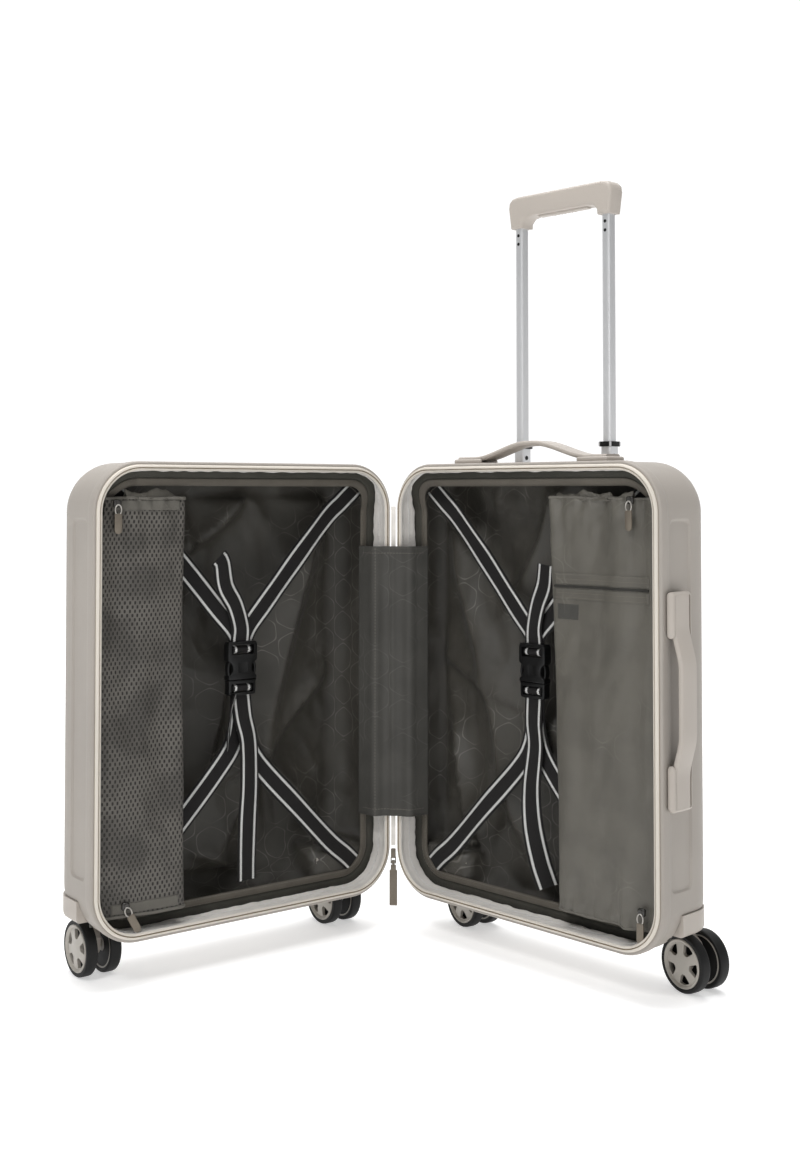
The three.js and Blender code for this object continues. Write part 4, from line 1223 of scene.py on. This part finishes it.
def make_divider_pocket(surface, body):
    """The zip pocket across the back half's divider: tapes, coil, rows of stitches and a blank sewn tab."""
    inner, outer = 243, 366
    for label, z_range in (("upper", (419.5, 431)), ("lower", (403, 414.5))):
        name = f"divider_pocket_tape_{label}"
        make_patch(name, BACK, surface, (inner, outer), z_range, 0.9, DIVIDER_CLOTH)
    make_patch("divider_blank_tab", BACK, surface, (247, 274), (382, 398), 1.1, FLAP_CLOTH)
    us = np.linspace(inner, outer, 90)
    for k, z in enumerate((429.5, 424.5, 410, 405)):
        path = [on_panel(surface, u, z, 1.7) for u in us]
        make_stitches(f"divider_pocket_stitches_{k + 1}", BACK, path, 3.4, 2.2, body)
    bm = bmesh.new()
    path = [on_panel(surface, u, 417, 0.7) for u in us]
    sweep(bm, path, circle_profile(1.5, 8), [(0, 0, 1)] * len(path))
    finish_part("divider_pocket_coil", bm, BACK, CORD, body, smooth=60)


panel_points, panel_surface = make_divider(BACK, 236, DIVIDER_CLOTH, "back_divider_panel", 2.0, 9, 1)
make_piping(BACK, panel_points, "back_divider_panel")
make_divider_pocket(panel_surface, "back_divider_panel")
panel_points, panel_surface = make_divider(FRONT, 275, MESH_CLOTH, "front_divider_panel", 7.0, -2, 0.15)
make_patch("front_divider_hem_top", FRONT, panel_surface, (283, 360), (498, 508.5), 0.8, PIPING)
make_patch("front_divider_hem_bottom", FRONT, panel_surface, (283, 358), (76.5, 87), 0.8, PIPING)
make_piping(FRONT, panel_points, "front_divider_panel")


# ---- Hinge flap ----
def make_flap():
    """Cloth flap across the hinge, with stitches down its front side and along the hem at each end."""
    z0, z1 = 136, 453
    route = [BACK.place((u, d, 0)) for u, d in ((29, 24), (26.5, 10), (24, -1), (13, -6))]
    route += [FRONT.place((u, d, 0)) for u, d in ((13, -6), (24, -1), (26.5, 10), (29, 24))]
    path = spline([(p.x / MM, p.y / MM, 0) for p in route], 70)
    heights = np.linspace(z0, z1, 80)
    inward = Vector((math.cos(-OPEN_ANGLE / 2), math.sin(-OPEN_ANGLE / 2)))
    distance = travelled(path)
    rows = []
    for z in heights:
        row = path.copy()
        row[:, 2] = z
        sag = np.array([noise.noise(Vector((s * 0.06, z * 0.004, 2.2))) * 1.8 for s in distance])
        crease = 1.6 * np.exp(-(((distance - distance[-1] / 2) / 3.0) ** 2))
        hem = np.sin(np.clip(distance / distance[-1], 0, 1) * math.pi)
        push = (sag * hem + crease)[:, None]
        row[:, :2] += np.array(inward) * push
        rows.append(row)
    points = np.array(rows)
    bm = cloth_grid(points, grid_uv(distance, heights))
    name, slot = "hinge_flap_cloth", "lining_fabric"
    flap = finish_part(name, bm, None, FLAP_CLOTH, None, "hinge_flap", smooth=80, thickness=0.9)
    towards_viewer = np.array([inward.x, inward.y, 0])
    lines = {"side": points[:, 50], "top": points[-3, 4:-4], "bottom": points[2, 4:-4]}
    seams = [
        make_stitches(f"hinge_flap_stitches_{label}", None, line + towards_viewer, 3.8, 2.5, None)
        for label, line in lines.items()
    ]
    for piece in [flap] + seams:
        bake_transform(piece)


make_flap()


# ---- Trolley ----
TROLLEY_D = 82
TUBE_U = (MID_U - 64, MID_U + 64)
COLLAR_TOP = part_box("trolley_middle_tube_left")[1].z / MM
GRIP_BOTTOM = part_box("trolley_grip")[0].z / MM


def make_grip():
    """The grip with rounded edges, openings for the two tubes and a pocket for the button."""
    foot = [(-72.5, 0), (-55.5, 0), (-55.0, 6), (-50, 11), (-41, 12.5)]
    end = [(-62, 37), (-70, 35.6), (-75, 31), (-76, 24), (-74.5, 14)]
    outline = foot + [(-x, z) for x, z in reversed(foot)] + [(-x, z) for x, z in reversed(end)] + end
    bm = bmesh.new()
    pushed(bm, [(MID_U + x, TROLLEY_D - 12, GRIP_BOTTOM + z) for x, z in outline], 24)
    bmesh.ops.recalc_face_normals(bm, faces=bm.faces)
    edges = [e for e in bm.edges if abs(e.verts[0].co.y - e.verts[1].co.y) < 1]
    round_edges(bm, edges, 4.2, 5)
    name = "trolley_grip_moulding"
    grip = finish_mesh(name, bm, None, TRIM, smooth=45)
    openings = [(MID_U, (36.6, 5.2), (8, 21), 1.2)] + [(u, (5.8, 6.8), (-4, 20), 1.0) for u in TUBE_U]
    for u, (across, deep), (low, high), rounding in openings:
        start = (u - across, TROLLEY_D - deep, GRIP_BOTTOM + low)
        cut_box(grip, start, (u + across, TROLLEY_D + deep, GRIP_BOTTOM + high), rounding)
    bm = as_half_mesh(grip)
    finish_part(name, bm, BACK, TRIM, "trolley_upper_stage", "trolley_grip")


def make_button():
    """The release button under the grip, with small ribs."""
    bm = bmesh.new()
    z = GRIP_BOTTOM + 10.5
    add_box(bm, (MID_U - 36, TROLLEY_D - 4.6, z), (MID_U + 36, TROLLEY_D + 4.6, z + 7), 1.6, 4)
    for i in range(-3, 4):
        u = MID_U + i * 5
        add_box(bm, (u - 0.8, TROLLEY_D - 3.4, z - 0.3), (u + 0.8, TROLLEY_D + 3.4, z + 1), 0.3, 2)
    name = "release_button_moulding"
    finish_part(name, bm, BACK, TRIM, "release_button", "trolley_release_button")


def make_tube_details():
    """Black collars, the two screws under the grip on each tube, and black discs of painted shade in the lock
    holes.
    """
    tube_face = (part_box("trolley_upper_tube_left")[0].y - BACK.place((0, 0, 0)).y) / MM
    collars, screws, hole_shade_discs = bmesh.new(), bmesh.new(), bmesh.new()
    for u in TUBE_U:
        path = [(u, TROLLEY_D, COLLAR_TOP - 5.4), (u, TROLLEY_D, COLLAR_TOP + 0.2)]
        sweep(collars, path, rounded_profile(17.0, 19.0, 3.4, 4), [(0, 1, 0)] * 2)
        for z in (GRIP_BOTTOM - 8, GRIP_BOTTOM - 18):
            add_rod(screws, (u, tube_face - 0.2, z), (u, tube_face + 0.8, z), 1.9, 14, 2.0)
        # Each lock hole is a thin black disc on the tube, standing in for the shade inside the hole.
        z = COLLAR_TOP - 16
        add_rod(hole_shade_discs, (u + 6.6, TROLLEY_D - 1, z), (u + 7.25, TROLLEY_D - 1, z), 2.6, 18)
    details = (("collars", collars, "middle"), ("screws", screws, "upper"), ("lock_hole_shades", hole_shade_discs, "middle"))
    for name, bm, stage in details:
        finish_part(f"trolley_{name}", bm, BACK, BLACK, f"trolley_{stage}_stage")


make_grip()
make_button()
make_tube_details()


# ---- Carry handles ----
def handle_grip(name, points, section, out, body):
    """A carry handle: its rounded section carried along a path that rises in the middle."""
    width, thick = section
    bm = bmesh.new()
    profile = rounded_profile(width, thick, min(thick / 2 - 0.2, 2.6), 4)
    sweep(bm, points, profile, [out] * len(points))
    finish_part(f"{name}_moulding", bm, BACK, TRIM, body, name, smooth=45)


def rise(t, base, height, low, high):
    """How far the handle stands off at t, 0 in its middle and 1 at its ends."""
    return base + height * (1 - smoothstep(t, low, high))


def handle_cup(name, node, box, box_bevel, opening, opening_bevel):
    """A socket at the end of a handle: a rounded box, open on the handle's side."""
    low, high, segments = box
    bm = bmesh.new()
    add_box(bm, low, high, box_bevel, segments)
    cup = finish_mesh("cup", bm, None, TRIM)
    cut_box(cup, *opening, opening_bevel)
    finish_part(name, as_half_mesh(cup), BACK, TRIM, BACK.body, node)


def make_side_handle():
    lo, hi = (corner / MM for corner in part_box("side_handle"))
    z_mid, reach = (lo.z + hi.z) / 2, (hi.z - lo.z) / 2
    d = 22
    steps = np.linspace(-reach, reach, 60)
    path = [(WIDTH + rise(abs(s) / reach, 6.6, 8.6, 0.30, 0.72), d, z_mid + s) for s in steps]
    handle_grip("side_handle", path, (26, 6), (1, 0, 0), "side_carry_handle")
    for label in ("upper", "lower"):
        node = f"side_handle_socket_{label}"
        z0, z1 = (corner.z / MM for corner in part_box(node))
        box = ((WIDTH + 0.2, d - 17, z0), (WIDTH + 10, d + 17, z1), 5)
        low, high = (z0 - 8, z1 - 3) if label == "upper" else (z0 + 3, z1 + 8)
        opening = ((WIDTH + 2, d - 13.6, low), (WIDTH + 16, d + 13.6, high))
        handle_cup(f"side_handle_cup_{label}", node, box, 4.5, opening, 2.4)


def make_top_handle():
    lo, hi = (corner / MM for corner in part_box("top_handle"))
    reach = (hi.x - lo.x) / 2
    d = 31
    steps = np.linspace(-reach, reach, 70)
    path = [(MID_U + s, d, TOP + rise(abs(s) / reach, 4.9, 16.6, 0.05, 0.78)) for s in steps]
    handle_grip("top_handle", path, (24, 5.6), (0, 0, 1), "top_carry_handle")
    for label in ("left", "right"):
        node = f"top_handle_socket_{label}"
        u0, u1 = ((corner.x - BACK.place((0, 0, 0)).x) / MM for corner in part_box(node))
        box = ((u0, d - 15.5, TOP - 1), (u1, d + 15.5, TOP + 5.2), 4)
        low, high = (u0 + 3.4, u1 + 6) if label == "left" else (u0 - 6, u1 - 3.4)
        opening = ((low, d - 12.6, TOP + 1.6), (high, d + 12.6, TOP + 12))
        handle_cup(f"top_handle_cup_{label}", node, box, 2.4, opening, 1.2)


make_side_handle()
make_top_handle()


# ---- Casters ----
# The swivel axis is SWIVEL_INSET from the side at depth SWIVEL_DEPTH. The wheels trail it by TRAIL.
SWIVEL_DEPTH = 84
SWIVEL_INSET = 35
TRAIL = 16
WHEEL_RADIUS = 30
WHEEL_INNER = 7
WHEEL_WIDTH = 13.5


def lathe(bm, profile, steps):
    """Turns a closed profile of (radius, y) points about the Y axis through the origin."""
    turns = [i / steps * math.tau for i in range(steps)]
    rows = [[(r * math.cos(a), y, r * math.sin(a)) for r, y in profile] for a in turns]
    add_grid(bm, np.array(rows), close_rows=True, close_cols=True)
    bmesh.ops.recalc_face_normals(bm, faces=bm.faces)


def tyre_mesh():
    """The tread, and the dark web behind the windows of the hub."""
    y0, y1 = WHEEL_INNER, WHEEL_INNER + WHEEL_WIDTH
    profile = [(8.2, y0 + 3.4), (8.2, y0 + 2.4), (24.6, y0 + 1.9), (25.4, y0 + 1.0), (27.6, y0 + 0.2)]
    profile += [(28.9, y0 + 0.5), (29.7, y0 + 1.5), (30, y0 + 3.2), (30, y1 - 3.2), (29.7, y1 - 1.5)]
    profile += [(28.9, y1 - 0.5), (27.6, y1 - 0.2), (25.4, y1 - 1.0), (24.8, y0 + 3.4)]
    bm = bmesh.new()
    lathe(bm, profile, 64)
    return bm


def hub_mesh():
    """A dished disc with five windows between broad spokes, and the stub axle that reaches into the fork."""
    y0, y1 = WHEEL_INNER, WHEEL_INNER + WHEEL_WIDTH
    profile = [(0.05, 0.5), (3, 0.5), (3, y0 + 2), (7, y0 + 2), (8, y1 - 5), (23, y1 - 5.5), (23.4, y0 + 1.4)]
    profile += [(25.1, y0 + 1.4), (25.1, y1 - 0.6), (24.2, y1 + 0.2), (23.2, y1 - 0.2), (21.8, y1 - 2.2)]
    profile += [(9, y1 - 0.6), (7, y1 - 0.2), (3, y1), (0.05, y1)]
    bm = bmesh.new()
    lathe(bm, profile, 80)
    hub = finish_mesh("hub", bm, None, HUB)
    window = [(10.8, -0.23), (20.7, -0.36), (21.3, 0), (20.7, 0.36), (10.8, 0.23)]
    for k in range(5):
        angle = math.tau * (k + 0.5) / 5
        bm = bmesh.new()
        pushed(bm, [(r * math.cos(a + angle), -5, r * math.sin(a + angle)) for r, a in window], 40)
        upright = [e for e in bm.edges if abs(e.verts[0].co.y - e.verts[1].co.y) > 1]
        bmesh.ops.bevel(bm, geom=upright, offset=1.6, segments=4, profile=0.5, affect="EDGES")
        bmesh.ops.recalc_face_normals(bm, faces=bm.faces)
        cut_with(hub, finish_mesh("cutter", bm, None, HUB))
    return as_half_mesh(hub)


def fork_mesh():
    """Rounded fork between the two wheels, from a disc under the housing down to the axle boss."""
    bm = bmesh.new()
    t = TRAIL
    outline = [(-11, 60), (-10.5, 52), (-6, 44), (t - 10.5, 36)]
    turns = np.linspace(math.pi * 0.95, math.pi * 2.05, 16)
    outline += [(t + 9.6 * math.cos(a), WHEEL_RADIUS + 9.6 * math.sin(a)) for a in turns]
    outline += [(t + 11, 40), (t + 5, 50), (11, 57), (11, 60)]
    extruded(bm, outline, -5.4, 5.4, 1.8, 4)
    disc = [(0.05, 58), (10.2, 58), (11.6, 59.6), (11.6, 64.4), (10.6, 65.4), (4, 65.4), (4, 84), (0.05, 84)]
    rows = [[(r * math.cos(a), r * math.sin(a), z) for r, z in disc] for a in np.arange(40) / 40 * math.tau]
    add_grid(bm, np.array(rows), close_rows=True, close_cols=True)
    bmesh.ops.recalc_face_normals(bm, faces=bm.faces)
    return bm


def housing_mesh():
    """Corner housing of the outer side, its vertical edge rounded and its foot softened."""
    rows = []
    for inset, z in [(6, 66), (3.2, 66.4), (1.4, 67.8), (0.4, 69.6), (0, 72), (0, 89.2)]:
        u1, d1 = WIDTH - inset, DEPTH - inset
        u0, d0 = WIDTH - POCKET_WIDTH + 0.5 + inset * 0.3, POCKET_FRONT + 0.5 + inset * 0.3
        radius = EDGE_RADIUS - inset
        row = [(u0, d0), ((u0 + u1) / 2, d0), (u1, d0), (u1, (d0 + d1 - radius) / 2)]
        row += arc(u1 - radius, d1 - radius, radius, radius, 0, 90, 15)
        row += [((u0 + u1 - radius) / 2, d1), (u0, d1), (u0, (d0 + d1) / 2)]
        rows.append([(u, d, z) for u, d in row])
    return capped_grid(rows)


TYRE = tyre_mesh()
WHEEL_HUB = hub_mesh()
FORK = fork_mesh()
HOUSING = housing_mesh()
TRAILING = {"back": math.radians(-10), "front": math.radians(-90)}


def copy_piece(source, half, name, node, matrix, material, body):
    """One more piece from a drawn form, moved or mirrored to its place."""
    bm = source.copy()
    bm.transform(matrix)
    if matrix.is_negative:
        bmesh.ops.reverse_faces(bm, faces=bm.faces)
    finish_part(name, bm, half, material, body, node, smooth=35)


def make_caster(half, corner, u, mirror):
    """A double-wheel caster: its housing, its fork, and a tyre and a hub on each side of the fork."""
    tag = f"{half.name}_{corner}"
    node = f"caster_housing_{tag}"
    copy_piece(HOUSING, half, f"caster_corner_{tag}", node, mirror, TRIM, half.body)
    swivel = Matrix.Translation((u, SWIVEL_DEPTH, 0)) @ Matrix.Rotation(TRAILING[half.name], 4, "Z")
    node = f"caster_fork_{tag}"
    copy_piece(FORK, half, f"{node}_moulding", node, swivel, TRIM, f"caster_{tag}")
    for letter, turn, spin in (("a", 0, 0.4), ("b", math.pi, 1.1)):
        wheel = swivel @ Matrix.Translation((TRAIL, 0, WHEEL_RADIUS)) @ Matrix.Rotation(turn, 4, "Z")
        body = f"wheel_{tag}_{letter}"
        node = f"tyre_{tag}_{letter}"
        copy_piece(TYRE, half, f"{node}_rubber", node, wheel, RUBBER, body)
        node = f"hub_{tag}_{letter}"
        spun = wheel @ Matrix.Rotation(spin, 4, "Y")
        copy_piece(WHEEL_HUB, half, f"{node}_spokes", node, spun, HUB, body)


MIRROR = Matrix.Translation((WIDTH, 0, 0)) @ Matrix.Scale(-1, 4, (1, 0, 0))
for half in (BACK, FRONT):
    make_caster(half, "outer", WIDTH - SWIVEL_INSET, Matrix.Identity(4))
    make_caster(half, "hinge", SWIVEL_INSET, MIRROR)


# ---- Zip pull at the hinge and the small pulls on the dividers ----
FACING = math.pi / 2 - OPEN_ANGLE / 2


def make_zip_pull():
    """Flat tapered pull hanging from its slider, drawn about the hinge axis and turned to the opening."""
    turn = Matrix.Translation((HINGE.x / MM, HINGE.y / MM, 0)) @ Matrix.Rotation(FACING, 4, "Z")
    bm = bmesh.new()
    add_box(bm, (-4.6, -1.1, 28), (4.6, 1.1, 70), 1.0, 3)
    add_box(bm, (-3.2, -0.9, 68), (3.2, 0.9, 76), 0.8, 3)
    add_rod(bm, (0, -1.25, 33), (0, 1.25, 33), 1.5, 16)
    add_rod(bm, (-1.7, 0, 79), (1.7, 0, 79), 2.5, 20)
    add_box(bm, (-1.4, -0.9, 74), (1.4, 0.9, 78), 0.3, 2)
    bm.transform(turn)
    finish_part("zip_pull_tab", bm, None, TAUPE, "zip_pull", "zip_puller")
    bm = bmesh.new()
    add_box(bm, (-2.8, -2.8, 84), (2.8, 2.8, 95), 1.1, 3)
    add_box(bm, (-2.6, -3.0, 86), (2.6, -2.2, 93), 0.4, 2)
    for side in (-1, 1):
        low, high = sorted((side * 2.1, side * 3.3))
        add_box(bm, (low, -1.7, 77.4), (high, 1.7, 85), 0.5, 3)
    add_rod(bm, (-3, 0, 79), (3, 0, 79), 1.0, 14)
    bm.transform(turn)
    finish_part("zip_slider_body", bm, None, TAUPE, BACK.body, "zip_slider")


def make_small_pull(name, half, body, u, z, lean=0.0):
    """A divider's own zip slider, with a wire bail and a blank rounded tab hanging from it."""
    d = 3.2
    bm = bmesh.new()
    add_box(bm, (u - 4.4, d - 2.2, z - 3), (u + 4.4, d + 2.4, z + 5), 1.8, 3)
    add_rod(bm, (u, d - 2.6, z + 2), (u, d + 1.2, z + 2), 2.0, 14)
    finish_part(f"{name}_slider", bm, half, DARK_METAL, body)
    hang = Matrix.Translation((u, d - 2.8, z - 1)) @ Matrix.Rotation(lean, 4, "Y")
    bm = bmesh.new()
    ring_path = [(3.6 * math.sin(a), 0, -4.5 + 5.4 * math.cos(a)) for a in np.linspace(0, math.tau, 29)]
    sweep(bm, ring_path, circle_profile(0.75, 8), [(0, 1, 0)] * len(ring_path))
    bm.transform(hang)
    finish_part(f"{name}_bail", bm, half, NICKEL, body, smooth=60)
    bm = bmesh.new()
    outline = arc(0, -25.5, 4.3, 4.3, 180, 360, 9) + [(4.3, -9.5), (3.4, -8.4), (-3.4, -8.4), (-4.3, -9.5)]
    extruded(bm, outline, -0.9, 0.9, 0.6)
    bm.transform(hang)
    bmesh.ops.recalc_face_normals(bm, faces=bm.faces)
    finish_part(f"{name}_tab", bm, half, TAUPE, body)


make_zip_pull()
make_small_pull("front_divider_pull_top", FRONT, "front_divider_panel", 356, 504)
make_small_pull("front_divider_pull_bottom", FRONT, "front_divider_panel", 344, 84, 0.5)
make_small_pull("back_divider_pull_top", BACK, "back_divider_panel", 344, 508)
make_small_pull("back_divider_pull_bottom", BACK, "back_divider_panel", 356, 92)


# ---- CAD parts whose shape is kept ----
KEPT = {
    "trolley_tray": TRIM,
    "trolley_base_bracket": BLACK,
    "hinge_tape": ZIP_CREAM,
}
for name in NODES:
    if name.startswith("trolley_") and "tube" in name:
        KEPT[name] = ALUMINIUM
for name, material in KEPT.items():
    mesh = NODES[name].data
    mesh.materials.clear()
    mesh.materials.append(material)


# ---- Floor and light ----
def add_world():
    """Studio with a white backdrop behind the case, a pale horizon all round and a dimmer room above it."""
    world = bpy.data.worlds.new("studio")
    world.use_nodes = True
    studio = NodeTree(world.node_tree)
    direction = studio.node("ShaderNodeTexCoord").outputs["Generated"]
    inputs = {0: direction, 1: BEHIND_CASE}
    facing = studio.node("ShaderNodeVectorMath", inputs, operation="DOT_PRODUCT").outputs["Value"]
    height = studio.node("ShaderNodeSeparateXYZ", {0: direction}).outputs["Z"]
    backdrop = studio.between(facing, 0.15, 0.82, 0.24, 1.1)
    horizon = studio.between(height, 0.08, 0.22, 0.55, 0.2)
    background = studio.tree.nodes["Background"]
    background.inputs["Color"].default_value = (1, 1, 1, 1)
    studio.feed(studio.math("MAXIMUM", backdrop, horizon), background.inputs["Strength"])
    bpy.context.scene.world = world


def add_floor():
    """Plain pale floor that stays nearly white under the case."""
    mesh = bpy.data.meshes.new("floor")
    side = 30
    corners = [(-side, -side, 0), (side, -side, 0), (side, side, 0), (-side, side, 0)]
    mesh.from_pydata(corners, [], [(0, 1, 2, 3)])
    pale = Shading("floor_pale", (0.8, 0.8, 0.8), 0.8, specular=0.0)
    pale.surface.inputs["Emission Color"].default_value = (1, 1, 1, 1)
    distance = pale.node("ShaderNodeVectorMath", {0: pale.coordinates()}, operation="LENGTH").outputs["Value"]
    glow = pale.math("ADD", pale.math("MULTIPLY", pale.between(distance, 0.9, 2.2), 0.4), 0.45)
    pale.feed(glow, pale.surface.inputs["Emission Strength"])
    pale.bump(pale.noise(4, 2), 0.0003)
    mesh.materials.append(pale.material)
    floor = bpy.data.objects.new("floor", mesh)
    bpy.context.scene.collection.objects.link(floor)


def add_light(name, location, target, size, power):
    data = bpy.data.lights.new(name, "AREA")
    data.shape = "RECTANGLE"
    data.size, data.size_y = size
    data.energy = power
    light = bpy.data.objects.new(name, data)
    bpy.context.scene.collection.objects.link(light)
    light.location = location
    light.rotation_mode = "QUATERNION"
    light.rotation_quaternion = (Vector(target) - Vector(location)).to_track_quat("-Z", "Y")


add_world()
add_floor()
add_light("key", (0.6, -1.9, 2.5), (0, 0, 0.3), (0.6, 0.6), 29)
add_light("fill", (2.6, -0.9, 0.9), (0, 0, 0.35), (1.0, 1.2), 5)
add_light("top", (-0.2, 0.2, 3.0), (0, 0, 0.3), (2.0, 2.0), 76)
